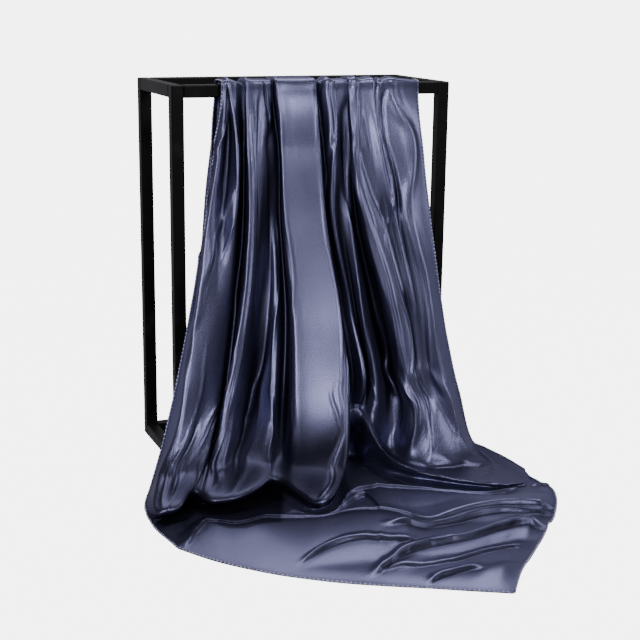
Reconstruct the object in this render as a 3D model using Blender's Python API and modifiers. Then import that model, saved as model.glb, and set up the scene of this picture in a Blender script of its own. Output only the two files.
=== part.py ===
"""A long satin scarf laid over the top rail of a square-tube box frame, trailing on the floor.

The scarf is one rectangle of cloth.  Its length runs from the back hem, up behind the front top rail,
over the rail, down the front and out along the floor to the front hem.  Its width is gathered on the
rail into pleats that open towards the floor.  The cloth is worked out in millimetres on a frame whose
front face is y = 0, with x = 0 at the middle of the frame and z = 0 on the floor; the finished part is
then centred on its footprint and written in metres.
"""
from collections import namedtuple

import bmesh
import bpy
import numpy as np

MM = 0.001

# Driving dimensions of the frame, in millimetres
FRAME_WIDTH = 460.0
FRAME_DEPTH = 200.0
FRAME_HEIGHT = 600.0
TUBE = 19.0
TUBE_BEVEL = 1.6

# Driving dimensions of the scarf, in millimetres
CLOTH_WALL = 1.2
HEM_WALL = 1.8
HEM_WIDTH = 4.0
SEAM_GAP = 0.3
RIM_ANGLE = 70.0
BACK_HEM_HEIGHT = 95.0
RAIL_CLEARANCE = 0.7
FOLD_ROUNDNESS = 0.78
COLUMN_WIDTH = 15.0
LEAST_COLUMNS = 2
TRAIN_ROWS = 16
ROLL_TURN = 40.0
UNDER_HEIGHT = 0.42
TUCK_LEVEL = 0.8
TUCK_RETURN = 6.0
RUN_ON_SHARE = 1.3
RUN_ON_END = 1.8

# Share of the fall against the foot in the spacing of the columns, and the least run of a column sideways
FALL_SPACING = 0.65
LEAST_RUN = 0.02

# Heights of the sections of the front fall that the fold table gives, top to bottom
LEVELS = (590.0, 500.0, 400.0, 250.0, 100.0)

# One row for each fold line of the front fall, left to right.  x590 to x100 are its places across the
# frame at the heights in LEVELS, and out590 to out100 how far it stands out in front of the frame.
FoldLine = namedtuple("FoldLine", "name x590 x500 x400 x250 x100 out590 out500 out400 out250 out100")
FOLD_LINES = (
    FoldLine("left_edge", -154, -168, -184, -217, -262, 6, 10, 16, 32, 65),
    FoldLine("left_band", -149, -166, -187, -215, -255, 8, 26, 40, 66, 110),
    FoldLine("left_pocket", -146, -148, -163, -187, -224, 4, 12, 30, 62, 100),
    FoldLine("second_crest", -144, -137, -149, -160, -198, 10, 30, 44, 50, 96),
    FoldLine("second_valley", -122, -122, -126, -146, -186, 2.5, 8, 14, 34, 80),
    FoldLine("double_crest", -116, -120, -124, -148, -197, 10, 32, 46, 76, 122),
    FoldLine("double_panel", -102, -109, -113, -137, -184, 8, 28, 41, 70, 116),
    FoldLine("wide_valley", -89, -84, -88, -102, -134, 3, 8, 10, 28, 75),
    FoldLine("pinched_crest", -83, -74, -74, -80, -110, 8, 10, 13, 44, 108),
    FoldLine("panel_valley", -74, -65, -64, -62, -87, 3, 8, 10, 32, 84),
    FoldLine("panel_left_crest", -70, -66, -67, -62, -80, 10, 33, 46, 76, 128),
    FoldLine("panel_middle", -42, -41, -34, -26, -44, 9, 31, 44, 78, 134),
    FoldLine("panel_right_crest", -11, -8, -4, 6, -4, 11, 34, 48, 84, 140),
    FoldLine("slit_valley", 2, 8, 14, 38, 46, 3, 10, 14, 26, 50),
    FoldLine("leaf_fold", 15, 18, 17, 48, 56, 9, 30, 34, 38, 62),
    FoldLine("leaf_valley", 31, 36, 37, 58, 68, 2.5, 6, 10, 26, 50),
    FoldLine("thin_crest", 41, 44, 51, 66, 80, 7, 12, 20, 42, 72),
    FoldLine("dark_valley", 48, 52, 64, 94, 116, 2.5, 6, 8, 20, 50),
    FoldLine("right_crest", 51, 53, 66, 104, 133, 10, 30, 42, 66, 96),
    FoldLine("right_second_crest", 60, 62, 90, 128, 151, 8, 24, 38, 62, 92),
    FoldLine("swag_pocket", 73, 82, 108, 140, 163, 7, 20, 34, 56, 84),
    FoldLine("swag_crest", 91, 98, 118, 147, 171, 10, 30, 42, 58, 82),
    FoldLine("swag_valley", 101, 110, 131, 159, 184, 4, 16, 28, 50, 72),
    FoldLine("right_band", 128, 144, 149, 174, 199, 7, 26, 38, 62, 86),
    FoldLine("right_edge", 172, 179, 191, 209, 235, 2, 10, 18, 36, 60),
)

# Where each fold line lands.  The heel is its last point on the fall, and the edge is the foremost point
# of the roll in which the fall turns under.  tuck is how far the cloth then runs back under itself; where it
# is negative, at the two side hems, the cloth runs on forward to the floor instead.
FootPoint = namedtuple("FootPoint", "heel_x heel_y heel_z edge_x edge_y edge_z tuck")
FOOT_POINTS = (
    FootPoint(-304, -104, 10, -323, -165, 8, -10),
    FootPoint(-284, -142, 50, -310, -200, 13, 12),
    FootPoint(-256, -136, 50, -290, -200, 14, 32),
    FootPoint(-230, -138, 50, -262, -166, 20, 34),
    FootPoint(-219, -122, 52, -250, -160, 21, 34),
    FootPoint(-222, -148, 50, -242, -174, 18, 34),
    FootPoint(-207, -145, 50, -230, -190, 15, 34),
    FootPoint(-168, -116, 50, -200, -193, 16, 34),
    FootPoint(-127, -140, 50, -148, -174, 25, 34),
    FootPoint(-106, -126, 52, -130, -163, 28, 30),
    FootPoint(-97, -160, 50, -116, -182, 25, 26),
    FootPoint(-68, -176, 48, -102, -226, 15, 14),
    FootPoint(-34, -190, 45, -86, -246, 12, 14),
    FootPoint(44, -48, 93, 42, -54, 86, 22),
    FootPoint(55, -54, 95, 53, -58, 89, 24),
    FootPoint(64, -54, 88, 60, -62, 80, 24),
    FootPoint(72, -78, 72, 62, -100, 54, 24),
    FootPoint(100, -86, 14, 73, -144, 31, 24),
    FootPoint(118, -128, 8, 99, -183, 21, 24),
    FootPoint(152, -148, 6, 136, -215, 16, 22),
    FootPoint(178, -152, 5, 160, -234, 14, 20),
    FootPoint(206, -146, 5, 184, -250, 13, 18),
    FootPoint(226, -134, 5, 210, -261, 12, 14),
    FootPoint(245, -115, 5, 241, -262, 11, 12),
    FootPoint(265, -74, 8, 279, -205, 8, -10),
)

# Outline of the train on the floor: the front hem from left to right, and how far the left and right
# edges bow out of the straight line from the foot to the hem
PlanPoint = namedtuple("PlanPoint", "x y")
FRONT_HEM = tuple(PlanPoint(*p) for p in (
    (-313, -291), (-283, -340), (-224, -409), (-138, -474), (-49, -523), (45, -574)))
LEFT_EDGE_BOW = PlanPoint(-3, 0)
RIGHT_EDGE_BOW = PlanPoint(52, -6)
HEM_EVENNESS = 0.6

# Folds that lie on the train: four points along each crest in plan, its height and its half-widths
# towards the hem and towards the frame
TrainFold = namedtuple("TrainFold", "name x1 y1 x2 y2 x3 y3 x4 y4 height front back")
TRAIN_FOLDS = (
    TrainFold("first_fold", -300, -284, -120, -290, 30, -352, 235, -366, 15, 20, 30),
    TrainFold("second_fold", -200, -420, -133, -396, -60, -403, 20, -430, 9, 20, 26),
    TrainFold("third_fold", -120, -466, -40, -436, 60, -418, 180, -414, 11, 20, 26),
    TrainFold("fourth_fold", -80, -508, -19, -493, 45, -484, 95, -486, 8, 18, 24),
    TrainFold("flap_fold", -78, -252, 0, -212, 80, -268, 262, -276, 14, 20, 26),
)
TRAIN_FOLD_FADE = 30.0

# The train's folds die away within this distance of its hems and of the fall, and over this share of its
# length where it comes out from under the fall
FLAT_BORDER = 32.0
FLAT_START = 0.14

# Between its folds the train wavers a little, up to this height over the floor, at these paces in plan
FLOOR_WAVER = 0.3
FLOOR_WAVER_X = 7.0
FLOOR_WAVER_Y = 9.0

# How the pleats bend over the rail: how far below its top they leave its faces, and what share of a
# pleat's depth stands out at the rail's corners, up at the corners and up at the middle
RAIL_DROP = 12.0
CORNER_OUT = 0.55
CORNER_RISE = 0.45
TOP_RISE = 0.6

# Width of the back drop against the front at the rail, how evenly its pleats are spaced from 0 to 1, how
# deep they hang and how far they sway sideways, at each height
BackLevel = namedtuple("BackLevel", "z spread even pleat sway")
BACK_LEVELS = (
    BackLevel(BACK_HEM_HEIGHT, 1.26, 1.0, 30.0, 5.0),
    BackLevel(210.0, 1.22, 1.0, 31.0, 3.0),
    BackLevel(340.0, 1.16, 0.95, 28.0, -2.0),
    BackLevel(460.0, 1.09, 0.75, 22.0, -1.0),
    BackLevel(550.0, 1.03, 0.35, 12.0, 0.0),
)
BACK_CLEARANCE = 3.0
BACK_WAVER = 2.5
BACK_WAVER_RISE = 70.0
BACK_PHASE = 9.0
SWAY_PACE = 1.3

# Steps between neighbouring sections, from the back hem to where the train lies on the floor
BACK_STEPS = (2, 2, 2, 1, 1)
RAIL_STEPS = (1, 1, 1, 1)
FALL_STEPS = (3, 3, 3, 3, 2, 2)
UNDER_STEPS = (1, 2, 1, 1)

Finish = namedtuple("Finish", "color roughness metallic")
SATIN = Finish((0.098, 0.099, 0.185, 1.0), 0.34, 0.0)
HEM_THREAD = Finish((0.06, 0.06, 0.115, 1.0), 0.5, 0.0)
BLACK_PAINT = Finish((0.008, 0.008, 0.009, 1.0), 0.42, 0.0)


def steady_slopes(s, y):
    """Slopes of y over s that never overshoot: zero at a crest or valley, else the harmonic mean."""
    d = np.diff(y, axis=-1) / np.diff(s, axis=-1)
    left, right = d[..., :-1], d[..., 1:]
    same = left * right > 0
    inner = np.where(same, 2 * left * right / np.where(same, left + right, 1.0), 0.0)
    return np.concatenate([d[..., :1], inner, d[..., -1:]], axis=-1)


def hermite(p0, p1, m0, m1, h, t):
    """Cubic from p0 to p1 with end slopes m0 and m1 over a step of length h, at t from 0 to 1."""
    return ((1 + 2 * t) * (1 - t) ** 2 * p0 + t * (1 - t) ** 2 * h * m0
            + t * t * (3 - 2 * t) * p1 - t * t * (1 - t) * h * m1)


def smooth_step(t):
    """Ease from 0 to 1 as t goes from 0 to 1, and stay level outside."""
    t = np.clip(t, 0.0, 1.0)
    return t * t * (3 - 2 * t)


def column_counts():
    """Columns between neighbouring fold lines, from their mean spacing round the folds."""
    x = np.array([line[1:6] for line in FOLD_LINES])
    out = np.array([line[6:11] for line in FOLD_LINES])
    edge = np.array([foot[3:6] for foot in FOOT_POINTS])
    at_levels = np.hypot(np.diff(x, axis=0), np.diff(out, axis=0)).mean(axis=1)
    at_foot = np.linalg.norm(np.diff(edge, axis=0), axis=1)
    spacing = FALL_SPACING * at_levels + (1 - FALL_SPACING) * at_foot
    return np.maximum(LEAST_COLUMNS, np.round(spacing / COLUMN_WIDTH)).astype(int)


def across(lines, counts):
    """Section curves through the fold lines: each passes a crest or valley level, with a round turn."""
    gaps = np.linalg.norm(np.diff(lines, axis=1), axis=2)
    s = np.concatenate([np.zeros((len(lines), 1)), np.cumsum(gaps, axis=1)], axis=1)
    slope_y = steady_slopes(s, lines[..., 1])
    slope_z = steady_slopes(s, lines[..., 2])
    slope_x = np.sqrt(np.maximum(FOLD_ROUNDNESS ** 2 - slope_y ** 2 - slope_z ** 2, LEAST_RUN))
    ends = [0, -1]
    slope_x[:, ends] = steady_slopes(s, lines[..., 0])[:, ends]
    slopes = np.stack([slope_x, slope_y, slope_z], axis=-1)
    pieces = []
    for k, count in enumerate(counts):
        t = (np.arange(count) / count)[None, :, None]
        pieces.append(hermite(lines[:, k, None], lines[:, k + 1, None], slopes[:, k, None],
                              slopes[:, k + 1, None], gaps[:, k, None, None], t))
    pieces.append(lines[:, -1:])
    return np.concatenate(pieces, axis=1)


def along(rows, steps):
    """Rows between the given rows, on smooth curves down each column that never dip past its heights."""
    reach = np.linalg.norm(np.diff(rows, axis=0), axis=2)[..., None]
    d = np.diff(rows, axis=0) / reach
    before, after = reach[:-1], reach[1:]
    inner = (d[:-1] * after + d[1:] * before) / (before + after)
    slopes = np.concatenate([d[:1], inner, d[-1:]])
    run = np.concatenate([np.zeros((1, rows.shape[1])), np.cumsum(reach[..., 0], axis=0)])
    slopes[..., 2] = steady_slopes(run.T, rows[..., 2].T).T
    made = []
    for k, count in enumerate(steps):
        for t in np.arange(count) / count:
            made.append(hermite(rows[k], rows[k + 1], slopes[k], slopes[k + 1], reach[k], t))
    made.append(rows[-1])
    return np.array(made)


def pleat_share():
    """How far each fold line stands out at the rail, from 0 in a valley to 1 on a crest."""
    out = np.array([line.out500 for line in FOLD_LINES])
    return (out - out.min()) / (out.max() - out.min())


def back_sections():
    """Sections of the drop behind the rail, from the back hem up."""
    x = np.array([line.x590 for line in FOLD_LINES])
    share = pleat_share()
    phase = np.linspace(0.0, BACK_PHASE, len(FOLD_LINES))
    evenly = np.linspace(x[0], x[-1], len(x))
    rows = []
    for level in BACK_LEVELS:
        waver = BACK_WAVER * np.sin(phase + level.z / BACK_WAVER_RISE)
        y = TUBE + BACK_CLEARANCE + level.pleat * share + waver
        sway = level.sway * np.sin(phase * SWAY_PACE)
        spaced = level.spread * (level.even * evenly + (1 - level.even) * x)
        rows.append(np.stack([spaced + sway, y, np.full_like(x, level.z)], axis=-1))
    return rows


def rail_sections():
    """Sections over the rail, from the back face to the front: pleats stand up from it a little."""
    x = np.array([line.x590 for line in FOLD_LINES])
    out = np.array([line.out590 for line in FOLD_LINES])
    rise = out - out.min()
    corner_out = RAIL_CLEARANCE + CORNER_OUT * rise
    corner_rise = RAIL_CLEARANCE + CORNER_RISE * rise
    top = FRAME_HEIGHT
    return [
        np.stack([x, TUBE + out, np.full_like(x, top - RAIL_DROP)], axis=-1),
        np.stack([x, TUBE + corner_out, top + corner_rise], axis=-1),
        np.stack([x, np.full_like(x, TUBE / 2), top + RAIL_CLEARANCE + TOP_RISE * rise], axis=-1),
        np.stack([x, -corner_out, top + corner_rise], axis=-1),
    ]


def fall_sections():
    """Sections of the front fall at LEVELS, then its heel and the front of its rolled edge."""
    rows = []
    for k, z in enumerate(LEVELS):
        x = np.array([line[1 + k] for line in FOLD_LINES], dtype=float)
        out = np.array([line[6 + k] for line in FOLD_LINES], dtype=float)
        rows.append(np.stack([x, -out, np.full_like(x, z)], axis=-1))
    foot = np.array(FOOT_POINTS, dtype=float)
    rows.append(foot[:, 0:3])
    rows.append(foot[:, 3:6])
    return rows


def under_rows(edge, counts):
    """Rows of the turned-under cloth: on the roll, under it, at the far end of the tuck, on the floor.

    Seen from the side the roll is a quarter ellipse from the edge, where the cloth drops straight, to the
    underside, where it lies level.  A half turn at the end of the tuck brings it down to the floor.
    """
    line_columns = np.concatenate([[0], np.cumsum(counts)])
    tuck = np.array([foot.tuck for foot in FOOT_POINTS])
    runs_on = tuck < 0
    turn = np.radians(ROLL_TURN)
    rows = []
    for back, share in (
            ((1 - np.cos(turn)) * tuck, 1 - (1 - UNDER_HEIGHT) * np.sin(turn)),
            (TUCK_LEVEL * tuck, UNDER_HEIGHT),
            (np.where(runs_on, RUN_ON_SHARE, 1.0) * tuck, UNDER_HEIGHT / 2),
            (np.where(runs_on, RUN_ON_END, TUCK_LEVEL) * tuck - TUCK_RETURN, 0.0)):
        y = edge[:, 1] + np.interp(np.arange(len(edge)), line_columns, back)
        rows.append(np.column_stack([edge[:, 0], y, share * edge[:, 2]]))
    return np.array(rows)


def curve_through(points, share):
    """Points on a smooth plan curve at the given shares of its length."""
    points = np.array(points, dtype=float)
    reach = np.concatenate([[0.0], np.cumsum(np.hypot(*np.diff(points, axis=0).T))])
    fine = np.linspace(0, 1, 401)
    slopes = np.gradient(points, reach / reach[-1], axis=0)
    u = reach / reach[-1]
    k = np.clip(np.searchsorted(u, fine, side="right") - 1, 0, len(u) - 2)
    h = (u[k + 1] - u[k])[:, None]
    t = (fine[:, None] - u[k][:, None]) / h
    curve = hermite(points[k], points[k + 1], slopes[k], slopes[k + 1], h, t)
    along_curve = np.concatenate([[0.0], np.cumsum(np.hypot(*np.diff(curve, axis=0).T))])
    along_curve /= along_curve[-1]
    return np.stack([np.interp(share, along_curve, curve[:, 0]),
                     np.interp(share, along_curve, curve[:, 1])], axis=-1)


def train_height(x, y):
    """Height of the train over the floor: a soft ridge along each train fold."""
    z = np.zeros_like(x)
    for fold in TRAIN_FOLDS:
        px = np.array([fold.x1, fold.x2, fold.x3, fold.x4], dtype=float)
        py = np.array([fold.y1, fold.y2, fold.y3, fold.y4], dtype=float)
        crest = np.polyval(np.polyfit(px, py, 3), np.clip(x, px[0], px[-1]))
        off = y - crest
        width = np.where(off < 0, fold.front, fold.back)
        bump = np.clip(1 - (off / width) ** 2, 0, None) ** 2
        ends = smooth_step((x - px[0]) / TRAIN_FOLD_FADE + 1)
        ends *= smooth_step((px[-1] - x) / TRAIN_FOLD_FADE + 1)
        z = np.maximum(z, fold.height * bump * ends)
    return z


def reach_to(line, plan):
    """Distance in plan from each point to the nearest point of a line."""
    return np.linalg.norm(plan[..., None, :] - line, axis=-1).min(axis=-1)


def train_rows(edge, start):
    """Rows of the train from its start line on the floor, behind the fall's edge, to the front hem.

    Each side edge bows out in plan, the most at a third of the way from the foot to the hem.
    """
    gaps = np.linalg.norm(np.diff(start, axis=0), axis=1)
    even = np.linspace(0, 1, len(start))
    by_length = np.concatenate([[0.0], np.cumsum(gaps)]) / gaps.sum()
    hem = curve_through(FRONT_HEM, HEM_EVENNESS * even + (1 - HEM_EVENNESS) * by_length)
    w = np.linspace(0, 1, TRAIN_ROWS + 1)[1:, None, None]
    left, right = (1 - even)[:, None] ** 3, even[:, None] ** 2
    plan = (1 - w) * start[:, :2] + w * hem
    bow = w * (1 - w) ** 2 * 27 / 4
    plan += bow * (left * np.array(LEFT_EDGE_BOW) + right * np.array(RIGHT_EDGE_BOW))
    border = np.concatenate([plan[:, 0], plan[:, -1], plan[-1]])
    lift = smooth_step(reach_to(border, plan) / FLAT_BORDER)
    lift = lift * smooth_step(reach_to(edge[:, :2], plan) / FLAT_BORDER)
    lift = lift * smooth_step(w[..., 0] / FLAT_START)
    x, y = plan[..., 0], plan[..., 1]
    waver = FLOOR_WAVER * (1 + np.sin(x / FLOOR_WAVER_X) * np.cos(y / FLOOR_WAVER_Y)) / 2
    return np.dstack([plan, waver + lift * train_height(x, y)])


def scarf_grid():
    """The whole scarf as rows of points, and the row numbers at which its stretches part."""
    counts = column_counts()
    sections = across(np.array(back_sections() + rail_sections() + fall_sections()), counts)
    under = under_rows(sections[-1], counts)
    train = train_rows(sections[-1], under[-1])
    steps = BACK_STEPS + RAIL_STEPS + FALL_STEPS + UNDER_STEPS + (1,) * TRAIN_ROWS
    grid = along(np.concatenate([sections, under, train]), steps)
    grid[..., 2] = np.maximum(grid[..., 2], 0.0)
    back_end = sum(BACK_STEPS)
    rail_end = back_end + sum(RAIL_STEPS)
    fall_end = rail_end + sum(FALL_STEPS)
    return grid, (back_end, rail_end, fall_end)


def face_normals(grid):
    """Unit normals on the face side of the cloth: the mean of those of the cells round each point."""
    cell = np.cross(grid[1:, 1:] - grid[:-1, :-1], grid[:-1, 1:] - grid[1:, :-1])
    cell /= np.linalg.norm(cell, axis=2, keepdims=True)
    around = np.pad(cell, ((1, 1), (1, 1), (0, 0)), mode="edge")
    normal = around[:-1, :-1] + around[:-1, 1:] + around[1:, :-1] + around[1:, 1:]
    return normal / np.linalg.norm(normal, axis=2, keepdims=True)


def square_to(line, step):
    """Unit vectors along the steps from the points of a line, less what runs along the line."""
    run = np.gradient(line, axis=0)
    run /= np.linalg.norm(run, axis=1, keepdims=True)
    across_line = step - run * (step * run).sum(axis=1, keepdims=True)
    return across_line / np.linalg.norm(across_line, axis=1, keepdims=True)


def pull_in(grid, first, last):
    """Rows first to last of the grid, with each end row drawn in by half a seam gap."""
    part = grid[first:last + 1].copy()
    for end, nearby in ((0, 1), (-1, -2)):
        part[end] += SEAM_GAP / 2 * square_to(part[end], part[nearby] - part[end])
    return part


def new_object(name, mesh, finish, collection):
    """Put a mesh in the collection as a named object with its own Principled material."""
    material = bpy.data.materials.new(name)
    material.use_nodes = True
    shader = material.node_tree.nodes["Principled BSDF"]
    shader.inputs["Base Color"].default_value = finish.color
    shader.inputs["Roughness"].default_value = finish.roughness
    shader.inputs["Metallic"].default_value = finish.metallic
    mesh.materials.append(material)
    obj = bpy.data.objects.new(name, mesh)
    collection.objects.link(obj)
    return obj


def cell_corners(table):
    """The four corners of each cell of a grid, anticlockwise on its face side."""
    return table[:-1, :-1], table[1:, :-1], table[1:, 1:], table[:-1, 1:]


def cell_triangles(points, index):
    """Two triangles for each cell of a grid, parted by the cell's shorter diagonal."""
    a, b, c, d = cell_corners(points)
    first_shorter = (np.linalg.norm(c - a, axis=2) <= np.linalg.norm(d - b, axis=2))[..., None]
    a, b, c, d = cell_corners(index)
    one = np.where(first_shorter, np.stack([a, b, c], axis=-1), np.stack([a, b, d], axis=-1))
    two = np.where(first_shorter, np.stack([a, c, d], axis=-1), np.stack([b, c, d], axis=-1))
    return np.concatenate([one.reshape(-1, 3), two.reshape(-1, 3)])


def cloth_object(name, inside, normal, wall, finish, collection):
    """A wall of cloth between its inside points and the same points moved out along their face normals."""
    face = inside + wall * normal
    points = np.concatenate([inside.reshape(-1, 3), face.reshape(-1, 3)])
    points[:, 2] = np.maximum(points[:, 2], 0.0)
    rows, columns = inside.shape[:2]
    count = rows * columns
    index = np.arange(count).reshape(rows, columns)
    sheet = cell_triangles(inside, index)
    ring = np.concatenate([index[:-1, 0], index[-1, :-1], index[:0:-1, -1], index[0, :0:-1]])
    onward = np.roll(ring, -1)
    rim = np.stack([onward + count, ring + count, ring, onward], axis=-1)
    mesh = bpy.data.meshes.new(name)
    faces = (sheet + count).tolist() + sheet[:, ::-1].tolist() + rim.tolist()
    mesh.from_pydata((points * MM).tolist(), [], faces)
    mesh.shade_smooth()
    mesh.set_sharp_from_angle(angle=np.radians(RIM_ANGLE))
    return new_object(name, mesh, finish, collection)


def hem_strip(edge, inner, normal):
    """Inside points and normals of the strip beside an edge of the scarf, laid off square to the edge."""
    out = square_to(edge, edge - inner)
    inside = np.stack([edge + SEAM_GAP * out, edge + (SEAM_GAP + HEM_WIDTH) * out])
    inside[..., 2] = np.maximum(inside[..., 2], 0.0)
    return np.stack([inside, np.stack([normal, normal])])


def hem_strips(grid, normals):
    """The strip of each rolled hem, its points and its normals, with its face side turned as the scarf's."""
    return {
        "hem_left": hem_strip(grid[:, 0], grid[:, 1], normals[:, 0])[:, ::-1].swapaxes(1, 2),
        "hem_right": hem_strip(grid[:, -1], grid[:, -2], normals[:, -1]).swapaxes(1, 2),
        "hem_back_end": hem_strip(grid[0], grid[1], normals[0])[:, ::-1],
        "hem_front_end": hem_strip(grid[-1], grid[-2], normals[-1]),
    }


def bar(name, low, high, collection):
    """One straight length of square tube between two corners, with eased edges."""
    low, high = np.array(low), np.array(high)
    bpy.ops.mesh.primitive_cube_add(size=1.0)
    cube = bpy.context.object
    mesh = cube.data
    mesh.name = name
    size = (high - low) * MM
    middle = (high + low) * MM / 2
    model = bmesh.new()
    model.from_mesh(mesh)
    bmesh.ops.scale(model, vec=size, verts=model.verts)
    bmesh.ops.translate(model, vec=middle, verts=model.verts)
    model.to_mesh(mesh)
    model.free()
    bpy.data.objects.remove(cube)
    obj = new_object(name, mesh, BLACK_PAINT, collection)
    bevel = obj.modifiers.new("eased_edges", "BEVEL")
    bevel.width = TUBE_BEVEL * MM
    bevel.segments = 1
    return obj


def box_frame(collection):
    """Four posts, and four rails at the top and at the base between them."""
    half = FRAME_WIDTH / 2
    for side, x in (("left", -half), ("right", half - TUBE)):
        for face, y in (("front", 0.0), ("back", FRAME_DEPTH - TUBE)):
            bar(f"post_{face}_{side}", (x, y, 0.0), (x + TUBE, y + TUBE, FRAME_HEIGHT), collection)
    for place, z in (("top", FRAME_HEIGHT - TUBE), ("base", 0.0)):
        for face, y in (("front", 0.0), ("back", FRAME_DEPTH - TUBE)):
            bar(f"rail_{place}_{face}", (TUBE + SEAM_GAP - half, y, z),
                (half - TUBE - SEAM_GAP, y + TUBE, z + TUBE), collection)
        for side, x in (("left", -half), ("right", half - TUBE)):
            bar(f"rail_{place}_{side}", (x, TUBE + SEAM_GAP, z),
                (x + TUBE, FRAME_DEPTH - TUBE - SEAM_GAP, z + TUBE), collection)


def scarf(collection):
    """The stretches of the scarf that show, and the rolled hems along its four edges."""
    grid, (back_end, rail_end, fall_end) = scarf_grid()
    normals = face_normals(grid)
    stretches = (
        ("scarf_back_drop", 0, back_end),
        ("scarf_over_rail", back_end, rail_end),
        ("scarf_front_fall", rail_end, fall_end),
        ("scarf_train", fall_end, len(grid) - 1),
    )
    for name, first, last in stretches:
        inside = pull_in(grid, first, last)
        cloth_object(name, inside, normals[first:last + 1], CLOTH_WALL, SATIN, collection)
    for name, (inside, normal) in hem_strips(grid, normals).items():
        cloth_object(name, inside, normal, HEM_WALL, HEM_THREAD, collection)


def centre_on_footprint(collection):
    """Move every piece so that the origin is under the middle of the whole part, on the floor."""
    bpy.context.view_layer.update()
    deps = bpy.context.evaluated_depsgraph_get()
    corners = []
    for obj in collection.objects:
        shape = obj.evaluated_get(deps).to_mesh()
        points = np.empty(len(shape.vertices) * 3)
        shape.vertices.foreach_get("co", points)
        points = points.reshape(-1, 3)
        corners += [points.min(axis=0), points.max(axis=0)]
        obj.evaluated_get(deps).to_mesh_clear()
    low, high = np.min(corners, axis=0), np.max(corners, axis=0)
    shift = np.append(np.round(-(low + high)[:2] / 2, 5), 0.0)
    for obj in collection.objects:
        obj.location = shift


def main():
    """Clear the scene and build the frame and the scarf."""
    for obj in list(bpy.data.objects):
        bpy.data.objects.remove(obj, do_unlink=True)
    collection = bpy.data.collections.new("scarf_on_box_frame")
    bpy.context.scene.collection.children.link(collection)
    box_frame(collection)
    scarf(collection)
    centre_on_footprint(collection)


main()
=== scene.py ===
"""Looks for a long satin scarf draped over the top rail of an open black box frame.

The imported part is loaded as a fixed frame.  The scarf is one rectangle of satin, made here as three fine
surfaces that share their edges: the drop behind the rail, the front with the turn over the rail, and the
train on the floor.  Each is a grid of points worked out from the same fold lines as the solids, with the
sharper creases and waves of the real cloth laid over them.  Sizes are in millimetres on a frame whose front
face is y = 0, with x = 0 at its middle and z = 0 on the floor.
"""
import logging
from dataclasses import dataclass, field
from enum import Enum
from typing import NamedTuple

import bpy
import numpy as np
from mathutils import Euler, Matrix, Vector

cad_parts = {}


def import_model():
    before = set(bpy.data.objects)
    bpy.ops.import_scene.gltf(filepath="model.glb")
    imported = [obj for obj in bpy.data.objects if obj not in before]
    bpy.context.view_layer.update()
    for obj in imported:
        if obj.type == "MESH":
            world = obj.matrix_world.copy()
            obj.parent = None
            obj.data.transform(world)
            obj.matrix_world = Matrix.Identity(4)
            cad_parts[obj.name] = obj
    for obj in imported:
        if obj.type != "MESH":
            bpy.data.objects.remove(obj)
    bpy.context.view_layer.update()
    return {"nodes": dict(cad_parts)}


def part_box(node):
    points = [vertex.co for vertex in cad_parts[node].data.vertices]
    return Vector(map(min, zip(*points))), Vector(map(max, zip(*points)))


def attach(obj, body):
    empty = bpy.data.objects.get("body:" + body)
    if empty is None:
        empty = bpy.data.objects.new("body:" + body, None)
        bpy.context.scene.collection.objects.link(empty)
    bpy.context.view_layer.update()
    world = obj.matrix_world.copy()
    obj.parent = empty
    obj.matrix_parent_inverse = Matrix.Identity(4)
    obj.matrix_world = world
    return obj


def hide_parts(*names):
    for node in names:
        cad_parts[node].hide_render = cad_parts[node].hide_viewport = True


MM = 0.001
TINY = 1e-9
CURVE_POINTS = 801
LEAST_SIDEWAYS = 0.02
POST_CORNER = (-0.230, 0.0, 0.0)
# Name of the point attribute that carries the cloth's painted shade.
PAINTED_SHADE = "painted_shade"
FLAT_MAP = "flat_cloth"
LOG = logging.getLogger("scarf")


class Side(Enum):
    """The four edges of the scarf: each one's hem node, and the grid's slices along it and one step in."""

    LEFT = ("hem_left", np.s_[:, 0], np.s_[:, 1])
    RIGHT = ("hem_right", np.s_[:, -1], np.s_[:, -2])
    BACK_END = ("hem_back_end", np.s_[0], np.s_[1])
    FRONT_END = ("hem_front_end", np.s_[-1], np.s_[-2])


class Along(Enum):
    """Which way a light's long side lies."""

    LEVEL = "level"
    UPRIGHT = "upright"


class Run(Enum):
    """Which way a crease runs over the cloth's grid of rows and columns."""

    DOWN = "down"
    ACROSS = "across"
    OVER_FOOT = "across the foot of the fall"


# Shader graphs


class Value:
    """A shader socket that takes part in Python arithmetic; each operation adds its Math node."""

    def __init__(self, graph: "Graph", socket: bpy.types.NodeSocket) -> None:
        """Wrap an output socket, with the graph that new nodes go to."""
        self.graph = graph
        self.socket = socket

    def __add__(self, other: "Value | float") -> "Value":
        """Sum."""
        return self.graph.math("ADD", self, other)

    def __mul__(self, other: "Value | float") -> "Value":
        """Product."""
        return self.graph.math("MULTIPLY", self, other)

    def __sub__(self, other: "Value | float") -> "Value":
        """Difference."""
        return self.graph.math("SUBTRACT", self, other)

    def __rsub__(self, other: float) -> "Value":
        """Difference from a number."""
        return self.graph.math("SUBTRACT", other, self)

    __radd__ = __add__
    __rmul__ = __mul__


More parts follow.
